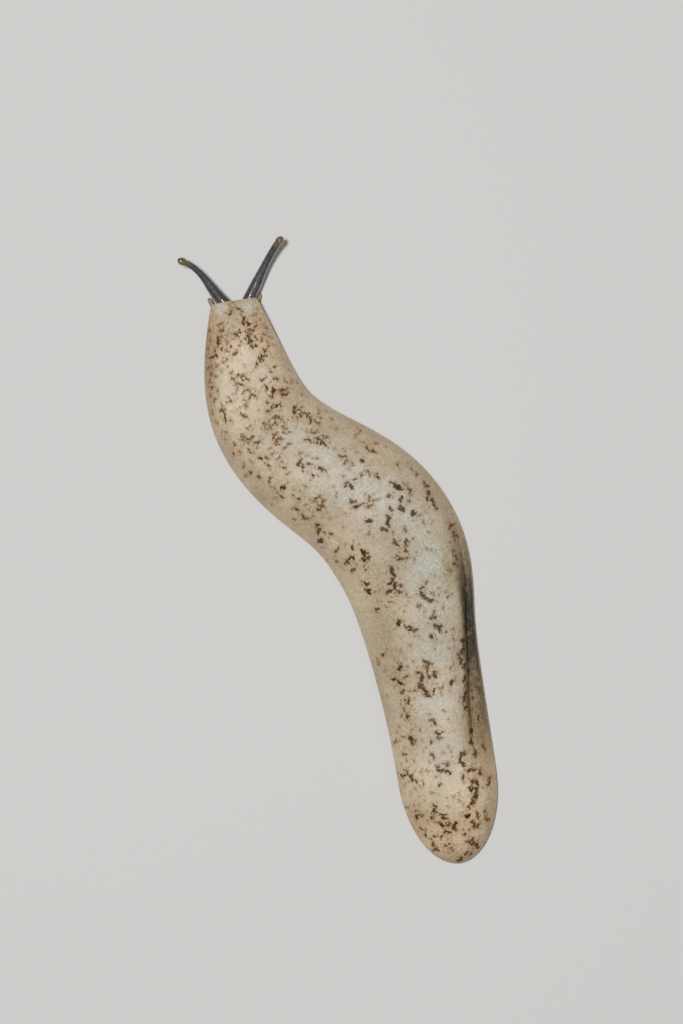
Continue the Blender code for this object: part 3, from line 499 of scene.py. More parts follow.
def tucked_dome(along, across, rise):
    """The right flank where it is fully tucked: steep down to the fold, then the margin's low swelling."""
    half = half_width(along)
    fold = half - tuck_inset(along)
    swelling = TUCK_SWELL * np.sin(math.pi * np.clip((across - fold) / (half - fold), 0.0, 1.0))
    return np.where(across > fold, swelling, rise * dome(np.maximum(across, 0.0) / fold))


def top_height(along, across):
    half = half_width(along)
    rise = back_height(along) - margin_high(along)
    plain = rise * dome(np.abs(across) / (half - BORDER * narrowing(half)))
    share = np.where(across > 0.0, tuck(along) * closing(along), 0.0)
    return margin_high(along) + plain + (tucked_dome(along, across, rise) - plain) * share


def foot_half_width(along):
    ahead = np.minimum(np.maximum(FOOT_START + TOE_ROUND - along, 0.0) / TOE_ROUND, 1.0)
    behind = np.minimum(np.maximum(along - FOOT_END + HEEL_ROUND, 0.0) / HEEL_ROUND, 1.0)
    full = FOOT_SHARE * station_width(np.minimum(along, TAIL_START))
    return full * np.sqrt((1 - ahead * ahead) * (1 - behind * behind))


def under_height(along, across):
    low = margin_low(along)
    inside = half_width(along) - BORDER - HOOD_SIDE
    hood = low + (back_height(along) - LIP_THICKNESS - low) * dome(np.abs(across) / np.maximum(inside, GAP))
    inner = foot_half_width(along) + GAP
    reach = UNDER_REACH * np.maximum(half_width(along) - inner, GAP)
    belly = BELLY + (low - BELLY) * fade((np.abs(across) - inner) / reach)
    return np.where(along <= HOOD_LENGTH + HOOD_WALL / 2, hood, belly)


def place(along, across, height):
    """Points, in metres, at ways along the middle line, distances across it and heights in millimetres."""
    step = 0.01
    run_x = line_x(along + step) - line_x(along - step)
    run_y = line_y(along + step) - line_y(along - step)
    size = np.hypot(run_x, run_y)
    x = line_x(along) - run_y / size * across
    y = line_y(along) + run_x / size * across
    return np.stack(np.broadcast_arrays(x, y, height), axis=-1) * MM


def from_pixel(x, y):
    """A place on the floor, in millimetres, of a pixel of the photograph."""
    return (x - BODY_MIDDLE_PIXEL[0]) / PHOTO_SCALE, (BODY_MIDDLE_PIXEL[1] - y) / PHOTO_SCALE


def steps_between(start, end, step):
    count = max(2, round((end - start) / step) + 1)
    return list(np.linspace(start, end, count))


def loft(name, rings, coordinates, material):
    """A closed mesh over rings of points, with a bake map whose rows follow the rings."""
    count, around = rings.shape[:2]
    mesh = bpy.data.meshes.new(name)
    faces = []
    for i in range(count - 1):
        for j in range(around):
            k = (j + 1) % around
            faces.append((i * around + j, i * around + k, (i + 1) * around + k, (i + 1) * around + j))
    faces.append(tuple(range(around))[::-1])
    faces.append(tuple((count - 1) * around + j for j in range(around)))
    mesh.from_pydata(rings.reshape(-1, 3), [], faces)
    layer = mesh.uv_layers.new(name="OFBake")
    places = np.zeros((len(mesh.loops), 2), np.float32)
    at = 0
    for i in range(count - 1):
        for j in range(around):
            for ring, turn in ((i, j), (i, j + 1), (i + 1, j + 1), (i + 1, j)):
                places[at] = coordinates(ring, turn, j)
                at += 1
    for ring, order in ((0, range(around)[::-1]), (count - 1, range(around))):
        for j in order:
            places[at] = coordinates(ring, j, j)
            at += 1
    layer.data.foreach_set("uv", places.ravel())
    thing = bpy.data.objects.new(name, mesh)
    bpy.context.scene.collection.objects.link(thing)
    mesh.materials.append(material)
    repaired = bmesh.new()
    repaired.from_mesh(mesh)
    bmesh.ops.recalc_face_normals(repaired, faces=repaired.faces[:])
    repaired.to_mesh(mesh)
    repaired.free()
    return thing


def in_patch(patch, count, around):
    """Bake coordinates that fill a patch (x0, y0, x1, y1): rings along x and turns along y."""
    x0, y0, x1, y1 = patch

    def coordinates(ring, turn, _first):
        return x0 + (x1 - x0) * ring / (count - 1), y0 + (y1 - y0) * turn / around

    return coordinates


def mantle_rings():
    """The mantle's dense sections: way along, across and height for each point."""
    front = [LIP_ROUND * (1 - math.cos(math.radians(angle))) for angle in FRONT_ANGLES]
    squeezes = [math.sin(math.radians(angle)) for angle in FRONT_ANGLES]
    hood = steps_between(LIP_ROUND, HOOD_LENGTH, RING_STEP)
    body = steps_between(HOOD_LENGTH + HOOD_WALL, TAIL_START, RING_STEP)
    turns = np.radians(np.linspace(0, TAIL_ANGLE, TAIL_SECTIONS))[1:]
    tail = list(TAIL_START + (LENGTH - TAIL_START) * np.sin(turns))
    along = np.array(front + hood + body + tail)
    squeeze = np.ones(len(along))
    squeeze[: len(squeezes)] = squeezes
    half = half_width(along) - LIP_ROUND * (1 - squeeze)
    reach = LIP_ROUND * narrowing(half)
    edge = (margin_low(along) + margin_high(along)) / 2
    thin = closing(along) ** TAIL_THINNING

    def surfaces(across, share):
        kept = share * thin
        upper = edge + (top_height(along, across) - edge) * kept
        lower = edge + (under_height(along, across) - edge) * kept
        middle = (upper + lower) / 2
        return middle + (upper - middle) * squeeze, middle + (lower - middle) * squeeze

    lip = [math.radians(90) * k / LIP_STEPS for k in range(1, LIP_STEPS + 1)]
    round_lip = [(half - reach * (1 - math.cos(turn)), math.sin(turn)) for turn in lip]
    flat = half - reach
    upper = [(half, 0.0)] + round_lip
    upper += [(flat * (1 - (k / TOP_STEPS) ** TOP_CROWDING), 1.0) for k in range(1, TOP_STEPS)]
    lower = round_lip + [(flat * (1 - k / UNDER_STEPS), 1.0) for k in range(1, UNDER_STEPS)]
    over = []
    under = []
    for side in (1, -1):
        over.append([(side * mark, surfaces(side * mark, share)[0]) for mark, share in upper])
        under.append([(side * mark, surfaces(side * mark, share)[1]) for mark, share in lower])
    zero = np.zeros(len(along))
    crest, keel = surfaces(zero, 1.0)
    outline = over[0] + [(zero, crest)] + over[1][::-1] + under[1] + [(zero, keel)] + under[0][::-1]
    points = [place(along, across, height) for across, height in outline]
    return np.stack(points, axis=1), len(over[0]) * 2 + 1


def build_mantle(material):
    rings, top_count = mantle_rings()
    count, around = rings.shape[:2]
    last = top_count - 1
    over = in_patch(TOP_PATCH, count, last)
    under = in_patch(UNDER_PATCH, count, around - last)

    def coordinates(ring, turn, first):
        return over(ring, turn, first) if first < last else under(ring, turn - last, first)

    return loft("slug_skin", rings, coordinates, material)


def build_foot(material):
    """The foot with fine cross furrows, its top sunk into the belly."""
    toe = FOOT_START + TOE_ROUND
    heel = FOOT_END - HEEL_ROUND
    turns = np.radians(np.linspace(*ROUND_ANGLES))
    along = np.concatenate([
        toe - TOE_ROUND * np.cos(turns),
        np.array(steps_between(toe, heel, SOLE_STEP)),
        heel + HEEL_ROUND * np.sin(turns),
    ])
    half = foot_half_width(along)
    wave = np.cos(along / FURROW_STEP * math.tau) ** FURROW_POWER * FURROW_DEPTH
    outline = [(SOLE_SHARE * t, wave * (1 - FURROW_FADE * t**4)) for t in np.linspace(-1, 1, SOLE_MARKS)]
    outline += [*FOOT_SIDE, (0.0, BELLY + FOOT_SINK)]
    outline += [(-share, height) for share, height in FOOT_SIDE[::-1]]
    rings = np.stack([place(along, half * share, height) for share, height in outline], axis=1)
    return loft("foot_skin", rings, in_patch(FOOT_PATCH, *rings.shape[:2]), material)


def build_snout(material):
    angles = np.radians(np.linspace(*SNOUT_ANGLES))
    along = np.concatenate([SNOUT_START + SNOUT_ROUND * (1 - np.cos(angles)), SNOUT_BACK])
    size = np.concatenate([np.sin(angles), [1.0, 1.0]])
    top = under_height(np.clip(along, LIP_ROUND, HOOD_LENGTH), np.zeros(len(along))) - GAP
    middle = (top + SNOUT_BOTTOM) / 2
    tall = (top - SNOUT_BOTTOM) / 2 * size
    wide = SNOUT_WIDTH / 2 * size
    turns = np.linspace(0, math.tau, SNOUT_SIDES, endpoint=False)
    rings = np.stack([place(along, wide * math.cos(t), middle + tall * math.sin(t)) for t in turns], axis=1)
    return loft("snout_skin", rings, in_patch(SNOUT_PATCH, *rings.shape[:2]), material)


def tube(name, path, radii, sides, patch, material):
    """A round tube along a path of points in millimetres."""
    path = np.array(path, float)
    ahead = np.gradient(path, axis=0)
    ahead /= np.linalg.norm(ahead, axis=1)[:, None]
    side = np.cross(ahead, (0.0, 0.0, 1.0))
    side /= np.linalg.norm(side, axis=1)[:, None]
    up = np.cross(side, ahead)
    turns = np.linspace(0, math.tau, sides, endpoint=False)
    radii = np.array(radii)[:, None]
    rings = np.stack([path + radii * (side * math.cos(t) + up * math.sin(t)) for t in turns], axis=1) * MM
    return loft(name, rings, in_patch(patch, *rings.shape[:2]), material)


def stalk_point(side, share):
    stalk = STALKS[side]
    edge = np.array(stalk["edge"])
    tip = np.array(stalk["tip"])
    heading = (tip - edge) / np.linalg.norm(tip - edge)
    outside = max(share, 0.0)
    bow = stalk["bow"] * BOW_SCALE * outside * outside * (1 - outside)
    point = edge + (tip - edge) * share + bow * np.array((-heading[1], heading[0]))
    rise = outside**STALK_BEND
    return np.array([*point, STALK_EDGE_HEIGHT + (STALK_TIP_HEIGHT - STALK_EDGE_HEIGHT) * rise])


def stalk_end(side):
    """The tip of a stalk's middle line and the direction in which it ends."""
    tip = stalk_point(side, 1.0)
    heading = tip - stalk_point(side, STALK_END)
    return tip, heading / np.linalg.norm(heading)


def build_stalk(side, patch, material):
    """An eyestalk from inside the head out to its rounded tip, with fine rings."""
    stalk = STALKS[side]
    length = float(np.hypot(*(np.array(stalk["tip"]) - np.array(stalk["edge"]))))
    radius_at = spline(np.linspace(0.0, 1.0, len(stalk["radii"])), stalk["radii"])
    bulb = EYE_RADIUS * EYE_STRETCH
    tip, heading = stalk_end(side)
    shares = np.arange(-BOSS_BACK / length, 1.0 - bulb * EYE_BACK / length, STALK_STEP / length)
    path = [stalk_point(side, share) for share in shares]
    radii = []
    for share in shares:
        way = share * length
        rings = 1 - STALK_RING_DEPTH * (0.5 + 0.5 * math.cos(math.tau * way / STALK_RING_STEP)) ** 2
        radii.append(float(radius_at(max(share, 0.0))) * rings)
    neck = radii[-1] * EYE_NECK
    for turn in np.radians(np.linspace(*EYE_ANGLES)):
        path.append(tip + heading * bulb * math.sin(turn))
        radii.append(max(EYE_RADIUS * math.cos(turn), neck if turn < 0 else 0.0))
    return tube("stalk_" + side, path, radii, STALK_SIDES, patch, material)


def rounded_end(share, end):
    """What is left of the radius where a tube rounds off."""
    start, length = end
    beyond = max((share - start) / length, 0.0)
    return math.sqrt(max(1 - beyond**2, 0.0))


def build_feeler(side, patch, material):
    root, middle, tip, branch_tip = (np.array(point) for point in FEELERS[side])
    shares = np.linspace(0.0, 1.0, FEELER_RINGS)
    path = [(1 - t) ** 2 * root + 2 * t * (1 - t) * middle + t * t * tip for t in shares]
    radii = [FEELER_RADIUS * (1.05 - FEELER_TAPER * t) * rounded_end(t, FEELER_END) for t in shares]
    x0, y0, x1, y1 = patch
    feeler = tube("feeler_" + side, path, radii, FEELER_SIDES, (x0, y0, (x0 + x1) / 2, y1), material)
    fork = path[FORK_RING]
    steps = np.linspace(0.0, 1.0, BRANCH_RINGS)
    branch_path = [fork + (branch_tip - fork) * t for t in steps]
    branch_radii = [BRANCH_RADIUS * rounded_end(t, BRANCH_END) for t in steps]
    branch_patch = ((x0 + x1) / 2, y0, x1, y1)
    branch = tube("branch_" + side, branch_path, branch_radii, BRANCH_SIDES, branch_patch, material)
    combine(feeler, branch, "UNION")
    return feeler


def combine(target, other, operation):
    """Joins or cuts the target with another closed mesh, applied."""
    change = target.modifiers.new(operation.lower(), "BOOLEAN")
    change.operation = operation
    change.solver = "MANIFOLD"
    change.material_mode = "TRANSFER"
    change.object = other
    bpy.context.view_layer.update()
    made = bpy.data.meshes.new_from_object(target.evaluated_get(bpy.context.evaluated_depsgraph_get()))
    target.modifiers.remove(change)
    old = target.data
    target.data = made
    bpy.data.meshes.remove(old)
    bpy.data.objects.remove(other, do_unlink=True)


def mouth_frame():
    middle, ahead = (Vector(place(along, 0.0, MOUTH_HEIGHT)) for along in (MOUTH_ALONG, MOUTH_ALONG - 1.0))
    forward = ahead - middle
    heading = math.atan2(forward.y, forward.x) - math.pi / 2
    turned = Matrix.Rotation(heading, 4, "Z") @ Matrix.Rotation(MOUTH_TILT, 4, "X")
    return Matrix.Translation(middle) @ turned @ Matrix.Scale(MM, 4)


def add_mouth(head, material):
    bpy.ops.mesh.primitive_torus_add(
        major_segments=40, minor_segments=14, major_radius=LIP_RING, minor_radius=LIP_RING_THICK
    )
    lips = bpy.context.object
    upright = Matrix.Rotation(math.pi / 2, 4, "X")
    lips.data.transform(mouth_frame() @ Matrix.Diagonal((LIP_STRETCH, 1.0, 1.0, 1.0)) @ upright)
    squeeze_map(lips.data, LIPS_PATCH)
    bpy.ops.mesh.primitive_uv_sphere_add(segments=24, ring_count=13, radius=1.0)
    slit = bpy.context.object
    wide, high, deep = MOUTH_SLIT
    slit.data.transform(mouth_frame() @ Matrix.Diagonal((wide, deep, high, 1.0)))
    squeeze_map(slit.data, SLIT_PATCH)
    for piece, operation in ((lips, "UNION"), (slit, "DIFFERENCE")):
        piece.data.materials.append(material)
        combine(head, piece, operation)


def squeeze_map(mesh, patch):
    """Turns a mesh's first map into the bake map and moves it into a patch."""
    x0, y0, x1, y1 = patch
    places = np.zeros(len(mesh.loops) * 2, np.float32)
    mesh.uv_layers[0].name = "OFBake"
    layer = mesh.uv_layers["OFBake"].data
    layer.foreach_get("uv", places)
    places = np.clip(places.reshape(-1, 2), 0.0, 1.0)
    places = places * (x1 - x0, y1 - y0) + (x0, y0)
    layer.foreach_set("uv", places.astype(np.float32).ravel())


def build_skin(materials):
    """One closed skin: mantle, foot, head, eyestalks and lower tentacles, joined."""
    head = build_snout(materials["head"])
    for side, row in SIDE_ROWS.items():
        end = row + ROW_HEIGHT
        combine(head, build_stalk(side, (0.01, row, 0.30, end), materials["stalk"]), "UNION")
        combine(head, build_feeler(side, (0.32, row, 0.58, end), materials["feeler"]), "UNION")
    add_mouth(head, materials["head"])
    combine(head, build_foot(materials["sole"]), "UNION")
    skin = build_mantle(materials["mantle"])
    combine(skin, head, "UNION")
    return skin


def vertices_of(mesh, what="co"):
    found = np.zeros(len(mesh.vertices) * 3, np.float32)
    mesh.vertices.foreach_get(what, found)
    return found.reshape(-1, 3).astype(float)


def line_points(along):
    return np.stack([line_x(along), line_y(along)], axis=1)


def body_coordinates(points):
    """Way along the middle line and distance across it, in millimetres, of points in metres."""
    flat = points[:, :2] / MM
    marks = np.arange(-4.0, LENGTH + 2.0, 0.25)
    line = KDTree(len(marks))
    for i, (x, y) in enumerate(line_points(marks)):
        line.insert((x, y, 0.0), i)
    line.balance()
    along = marks[[line.find((x, y, 0.0))[1] for x, y in flat]]
    for _ in range(2):
        centre = line_points(along)
        run = line_points(along + 0.01) - line_points(along - 0.01)
        run /= np.linalg.norm(run, axis=1)[:, None]
        along = along + ((flat - centre) * run).sum(axis=1)
    away = flat - centre
    return along, away[:, 1] * run[:, 0] - away[:, 0] * run[:, 1]


def add_attribute(mesh, name, values):
    layer = mesh.attributes.new(name, "FLOAT", "POINT")
    layer.data.foreach_set("value", np.asarray(values, np.float32))


def material_of_vertices(mesh):
    """The lowest material slot worn by the faces at each vertex."""
    slots = np.full(len(mesh.vertices), 99)
    for face in mesh.polygons:
        for vertex in face.vertices:
            slots[vertex] = min(slots[vertex], face.material_index)
    return slots


def noise_at(columns):
    return np.array([noise.noise(Vector(row)) for row in columns])


def cells_at(columns):
    """The distance to the nearest cell's middle, for rounded granules."""
    return np.array([noise.voronoi(Vector(row))[0][0] for row in columns])


def add_relief(skin, along, across, upper):
    """Raises and lowers the back along its own normals: soft undulations, creases and fine grains."""
    mesh = skin.data
    points = vertices_of(mesh)
    normals = vertices_of(mesh, "normal")
    chosen = np.flatnonzero(upper)
    mm = points[chosen] / MM
    s = along[chosen]
    v = across[chosen]
    half = half_width(s)
    inside = fade((half - np.abs(v) - 0.1) / 1.0) * fade((s - 0.4) / 1.6) * fade((LENGTH - s - 0.2) / 1.6)
    broad = noise_at(mm / UNDULATION[0]) * UNDULATION[1]
    middle = noise_at(mm / SWELLING[0] + 20.0) * SWELLING[1]
    grain = (0.5 - cells_at(mm / GRANULE)) * GRANULE_HEIGHT
    flank = fade((np.abs(v) / half - 0.5) / 0.35)
    plain = np.zeros(len(s))
    streak = noise_at(np.stack([s / STREAK[0], v / STREAK[1], plain], axis=1)) * STREAK[2] * flank
    creases = plain.copy()
    wander = noise_at(np.stack([s / CREASE_WANDER[0], plain + 3.0, plain], axis=1)) * CREASE_WANDER[1]
    for start, end, share, depth, width in CREASES:
        here = fade((s - start) / CREASE_FADE) * fade((end - s) / CREASE_FADE)
        away = (v / half - share - wander) * half / width
        creases += depth * here * np.exp(-away * away)
    height = (broad + middle + grain + streak - creases) * inside
    points[chosen] += normals[chosen] * (height * MM)[:, None]
    mesh.vertices.foreach_set("co", points.astype(np.float32).ravel())


def fleck_strokes():
    """Discs (x, y, radius in millimetres, darkness) along every stroke of the dark flecks."""
    draw = random.Random(SEED)
    discs = []

    def stroke(x, y, length, turn, weight):
        darkness = min(1.0, STROKE_DARKNESS[0] + STROKE_DARKNESS[1] * weight) * draw.uniform(0.88, 1.05)
        radius = STROKE_RADIUS[0] + STROKE_RADIUS[1] * weight * draw.uniform(0.85, 1.15)
        radius *= FINE_SHARE if y > FINE_PLACE else COARSE_SHARE
        steps = max(2, int(length / STROKE_STEP))
        swing = draw.gauss(0.0, 0.09)
        turn -= swing * steps / 2
        x -= math.cos(turn + swing * steps / 4) * length / 2
        y -= math.sin(turn + swing * steps / 4) * length / 2
        for k in range(steps):
            taper = math.sin(math.pi * (k + 0.7) / (steps + 0.4)) ** 0.35
            thick = radius * draw.uniform(0.5, 1.25) * taper
            side = draw.gauss(0.0, 0.45) * radius
            discs.append((x - math.sin(turn) * side, y + math.cos(turn) * side, thick, darkness))
            turn += swing + draw.gauss(0.0, 0.24)
            x += math.cos(turn) * length / steps
            y += math.sin(turn) * length / steps

    for px, py, length, angle, weight in FLECKS:
        x, y = from_pixel(px, py)
        stroke(x, y, length / PHOTO_SCALE, math.radians(angle), weight)
        if y > FINE_PLACE:
            beside = (x + draw.gauss(0, 0.32), y + draw.gauss(0, 0.32))
            turn = math.radians(angle + draw.gauss(0, 30))
            stroke(*beside, length / PHOTO_SCALE * draw.uniform(0.4, 0.9), turn, weight * 0.9)
        if weight > 0.9 and draw.random() < 0.5:
            branch = math.radians(angle + draw.choice((-1, 1)) * draw.uniform(35, 85))
            far = draw.uniform(-0.3, 0.3) * length / PHOTO_SCALE
            x += math.cos(math.radians(angle)) * far
            y += math.sin(math.radians(angle)) * far
            stroke(x, y, length / PHOTO_SCALE * draw.uniform(0.35, 0.6), branch, weight * 0.7)
    for _ in range(STRAY_FLECKS):
        along = draw.uniform(1.5, LENGTH - 2.0)
        share = draw.uniform(-0.9, 0.9)
        across = share * float(half_width(along))
        x, y, _z = place(along, across, 0.0) / MM
        ahead, behind = (place(along + step, across, 0.0) / MM for step in (0.1, -0.1))
        run = math.atan2(ahead[1] - behind[1], ahead[0] - behind[0])
        spread = 0.25 if abs(share) > 0.6 else 0.7
        length = draw.uniform(0.15, 0.7)
        turn = run + draw.gauss(0, spread)
        stroke(float(x), float(y), length, turn, draw.uniform(0.1, 0.5))
    for _ in range(PEPPER):
        px, py, *_rest = draw.choice(FLECKS)
        x, y = from_pixel(px + draw.gauss(0, 4.5), py + draw.gauss(0, 5.5))
        discs.append((x, y, draw.uniform(0.05, 0.15), draw.uniform(0.4, 0.8)))
    return discs


def painted_fold_shade(along, across):
    """How strongly each point takes the painted shade of the tucked fold, from 0 to 1."""
    along = np.clip(along, 0.0, LENGTH - 0.1)
    fold = half_width(along) - tuck_inset(along)
    begin, full = FOLD_SHADE
    begin = begin - FOLD_HEAD_SPREAD * np.exp(-(((along - FOLD_HEAD) / FOLD_HEAD_REACH) ** 2))
    wall = fade((across / fold - begin) / (full - begin))
    tip = fade((half_width(along) - across) / FOLD_RIM)
    deep = np.exp(-(((along - DEEP_PLACE) / DEEP_REACH) ** 2))
    darkness = np.minimum(FOLD_DARKNESS * tuck(along) ** FOLD_POWER + DEEP_DARKNESS * deep, 1.0)
    return darkness * wall * (1 - FOLD_RIM_PALER * (1 - tip))


def crowding(points):
    """How thickly the flecks lie round each point, from 0 to 1."""
    places = np.array([(*from_pixel(x, y), weight) for x, y, _length, _angle, weight in FLECKS])
    flat = points[:, :2] / MM
    total = np.zeros(len(flat))
    for x, y, weight in places:
        away = (flat[:, 0] - x) ** 2 + (flat[:, 1] - y) ** 2
        total += weight * np.exp(-away / CROWD_REACH**2)
    return np.minimum(total / CROWD_FULL, 1.0)


def paint_flecks(mesh, points, upper):
    """Adds the depth inside the nearest stroke, that stroke's darkness and a soft stain round the strokes."""
    chosen = np.flatnonzero(upper)
    spots = points[chosen] / MM * (1.0, 1.0, FLECK_RISE)
    plan = KDTree(len(chosen))
    tree = KDTree(len(chosen))
    for i, (x, y, z) in enumerate(spots):
        plan.insert((x, y, 0.0), i)
        tree.insert((x, y, z), i)
    plan.balance()
    tree.balance()
    depth = np.full(len(points), -FLECK_REACH)
    ink = np.full(len(points), 0.5)
    stain = np.zeros(len(points))
    for x, y, radius, darkness in fleck_strokes():
        z = spots[plan.find((x, y, 0.0))[1]][2]
        for _co, i, away in tree.find_range((x, y, z), radius + FLECK_REACH):
            vertex = chosen[i]
            if radius - away > depth[vertex]:
                depth[vertex] = radius - away
                ink[vertex] = darkness
            stain[vertex] = max(stain[vertex], math.exp(-((away / STAIN_REACH) ** 2)) * radius * 4)
    add_attribute(mesh, "fleck", depth)
    add_attribute(mesh, "ink", ink)
    add_attribute(mesh, "stain", np.minimum(stain, 1.0))
    add_attribute(mesh, "dust", crowding(points))


def patches_at(flat, patches):
    """The strongest of some soft patches at each place."""
    shade = np.zeros(len(flat))
    for x, y, wide, tall, strength in patches:
        away = ((flat - from_pixel(x, y)) * PHOTO_SCALE / (wide, tall)) ** 2
        shade = np.maximum(shade, strength * np.exp(-away.sum(axis=1)))
    return shade


def near_tips(points):
    """How near the tip of a stalk each point lies, from 0 to 1."""
    tips = np.zeros(len(points))
    for side in STALKS:
        away = np.linalg.norm(points / MM - stalk_point(side, 1.0), axis=1)
        tips = np.maximum(tips, 1 - fade((away - TIP_BROWN[0]) / TIP_BROWN[1]))
    return tips


def on_back(mesh, points, along, across):
    """Which points lie on the mantle's upper side."""
    height = points[:, 2] / MM
    kept = np.clip(along, 0, LENGTH)
    edge = (margin_low(along) + margin_high(along)) / 2
    top = top_height(kept, across)
    inside = np.abs(across) < half_width(kept) + 0.2
    under_hood = (along < HOOD_LENGTH + 0.3) & (height < top - 0.35)
    return (material_of_vertices(mesh) == 0) & (height > (edge + top) / 2 - 0.02) & inside & ~under_hood


def paint_skin(skin):
    """Adds the attributes that the materials read, and the relief."""
    mesh = skin.data
    points = vertices_of(mesh)
    along, across = body_coordinates(points)
    upper = on_back(mesh, points, along, across)
    add_relief(skin, along, across, upper)
    paint_flecks(mesh, points, upper)
    # Painted shade near the margins, moved out past the left margin in the rear half.
    rim = np.clip(half_width(np.clip(along, 0, LENGTH)) - np.abs(across), 0, 9)
    rim += RIM_SHIFT * fade((along - RIM_PLACE[0]) / RIM_PLACE[1]) * (across < 0)
    add_attribute(mesh, "rim", rim * upper)
    # The fold's painted shade, partly the flank's darker skin.
    add_attribute(mesh, "fold", painted_fold_shade(along, across) * upper)
    kinds = {
        "pale_sheen": PALE_SHEEN_PATCHES, "brown": BROWN_AND_SHADE_PATCHES, "gold": GOLD_PATCHES, "peach": PEACH_PATCHES,
        "painted_shade": PAINTED_SHADE_PATCHES,
    }
    for name, patches in kinds.items():
        add_attribute(mesh, name, patches_at(points[:, :2] / MM, patches) * upper)
    add_attribute(mesh, "tip", near_tips(points))


class Nodes:
    """A short way to write a material's node tree."""

    def __init__(self, name):
        self.material = bpy.data.materials.new(name)
        self.material.use_nodes = True
        self.tree = self.material.node_tree
        self.shader = self.tree.nodes["Principled BSDF"]
        self.coordinates = self.tree.nodes.new("ShaderNodeTexCoord")

    def put(self, value, socket):
        if isinstance(value, bpy.types.NodeSocket):
            self.tree.links.new(value, socket)
        else:
            socket.default_value = (*value, 1.0) if isinstance(value, tuple) else value

    def attribute(self, name):
        node = self.tree.nodes.new("ShaderNodeAttribute")
        node.attribute_name = name
        return node.outputs["Fac"]

    def pattern(self, kind, size_mm, **values):
        node = self.tree.nodes.new(kind)
        self.tree.links.new(self.coordinates.outputs["Object"], node.inputs["Vector"])
        for name, value in {"Scale": 1 / (size_mm * MM), **values}.items():
            node.inputs[name].default_value = value
        return node.outputs

    def noise(self, size_mm, detail=3.0, rough=0.5, distortion=0.0):
        outputs = self.pattern(
            "ShaderNodeTexNoise", size_mm, Detail=detail, Roughness=rough, Distortion=distortion
        )
        return outputs["Fac"]

    def cells(self, size_mm, output="Distance"):
        return self.pattern("ShaderNodeTexVoronoi", size_mm)[output]

    def math(self, operation, a, b=0.0):
        node = self.tree.nodes.new("ShaderNodeMath")
        node.operation = operation
        self.put(a, node.inputs[0])
        self.put(b, node.inputs[1])
        return node.outputs[0]

    def times(self, a, b):
        return self.math("MULTIPLY", a, b)

    def swing(self, value, amount):
        """A value from 0 to 1 made to swing round 0 by an amount."""
        return self.times(self.math("SUBTRACT", value, 0.5), amount)

    def ramp(self, value, low, high, start=0.0, end=1.0):
        node = self.tree.nodes.new("ShaderNodeMapRange")
        node.interpolation_type = "SMOOTHSTEP"
        self.put(value, node.inputs["Value"])
        for name, limit in zip(("From Min", "From Max", "To Min", "To Max"), (low, high, start, end)):
            node.inputs[name].default_value = limit
        return node.outputs["Result"]

    def mix(self, share, a, b, blend="MIX"):
        node = self.tree.nodes.new("ShaderNodeMix")
        node.data_type = "RGBA"
        node.blend_type = blend
        self.put(share, node.inputs["Factor"])
        colors = [socket for socket in node.inputs if socket.type == "RGBA"]
        self.put(a, colors[0])
        self.put(b, colors[1])
        return [socket for socket in node.outputs if socket.type == "RGBA"][0]

    def marbled(self, size_mm, colors, detail=4.0):
        """Two colours that run into each other in soft patches."""
        return self.mix(self.ramp(self.noise(size_mm, detail), 0.35, 0.65), *colors)

    def damp(self, size_mm, smooth, rough):
        """A roughness that changes from place to place."""
        return self.ramp(self.noise(size_mm), 0.3, 0.7, smooth, rough)

    def bump(self, height, distance_mm, strength=1.0):
        node = self.tree.nodes.new("ShaderNodeBump")
        node.inputs["Strength"].default_value = strength
        node.inputs["Distance"].default_value = distance_mm * MM
        self.put(height, node.inputs["Height"])
        for name in ("Normal", "Coat Normal"):
            self.tree.links.new(node.outputs["Normal"], self.shader.inputs[name])

    def set(self, **values):
        for name, value in values.items():
            self.put(value, self.shader.inputs[name.replace("_", " ")])


def mantle_ground(nodes):
    """The back's colour with its soft patches, some of them painted shade and painted sheen, and how strongly
    it is pale grey with painted sheen.
    """
    base = nodes.mix(nodes.ramp(nodes.noise(6.0, 4.0, 0.55), 0.40, 0.60), *TAN)
    wander = nodes.ramp(nodes.noise(2.2, 5.0, 0.62), 0.32, 0.64, 0.35, 1.0)
    gold = nodes.times(nodes.attribute("gold"), nodes.ramp(wander, 0.35, 1.0, 0.6, 1.0))
    base = nodes.mix(gold, base, GOLDEN)
    peach = nodes.times(nodes.attribute("peach"), wander)
    base = nodes.mix(nodes.times(peach, 0.8), base, PEACH)
    # Pale grey along the crest, partly painted sheen.
    patchy = nodes.ramp(nodes.noise(1.6, 5.0, 0.62), 0.34, 0.62, 0.45, 1.0)
    pale_sheen = nodes.times(nodes.attribute("pale_sheen"), patchy)
    base = nodes.mix(nodes.times(pale_sheen, 0.9), base, PALE_SHEEN)
    # Painted shade in broad soft patches.
    base = nodes.mix(nodes.attribute("painted_shade"), base, PAINTED_SHADE_TINT, "MULTIPLY")
    # Painted shade darkens the back near its margins.
    rim = nodes.ramp(nodes.attribute("rim"), 0.1, 3.0, 1.0, 0.0)
    base = nodes.mix(nodes.times(rim, 0.45), base, RIM_PAINTED_SHADE)
    # Brown mottling, partly painted shade.
    return nodes.mix(nodes.times(nodes.attribute("brown"), 0.85), base, FLANK_BROWN_AND_SHADE), pale_sheen


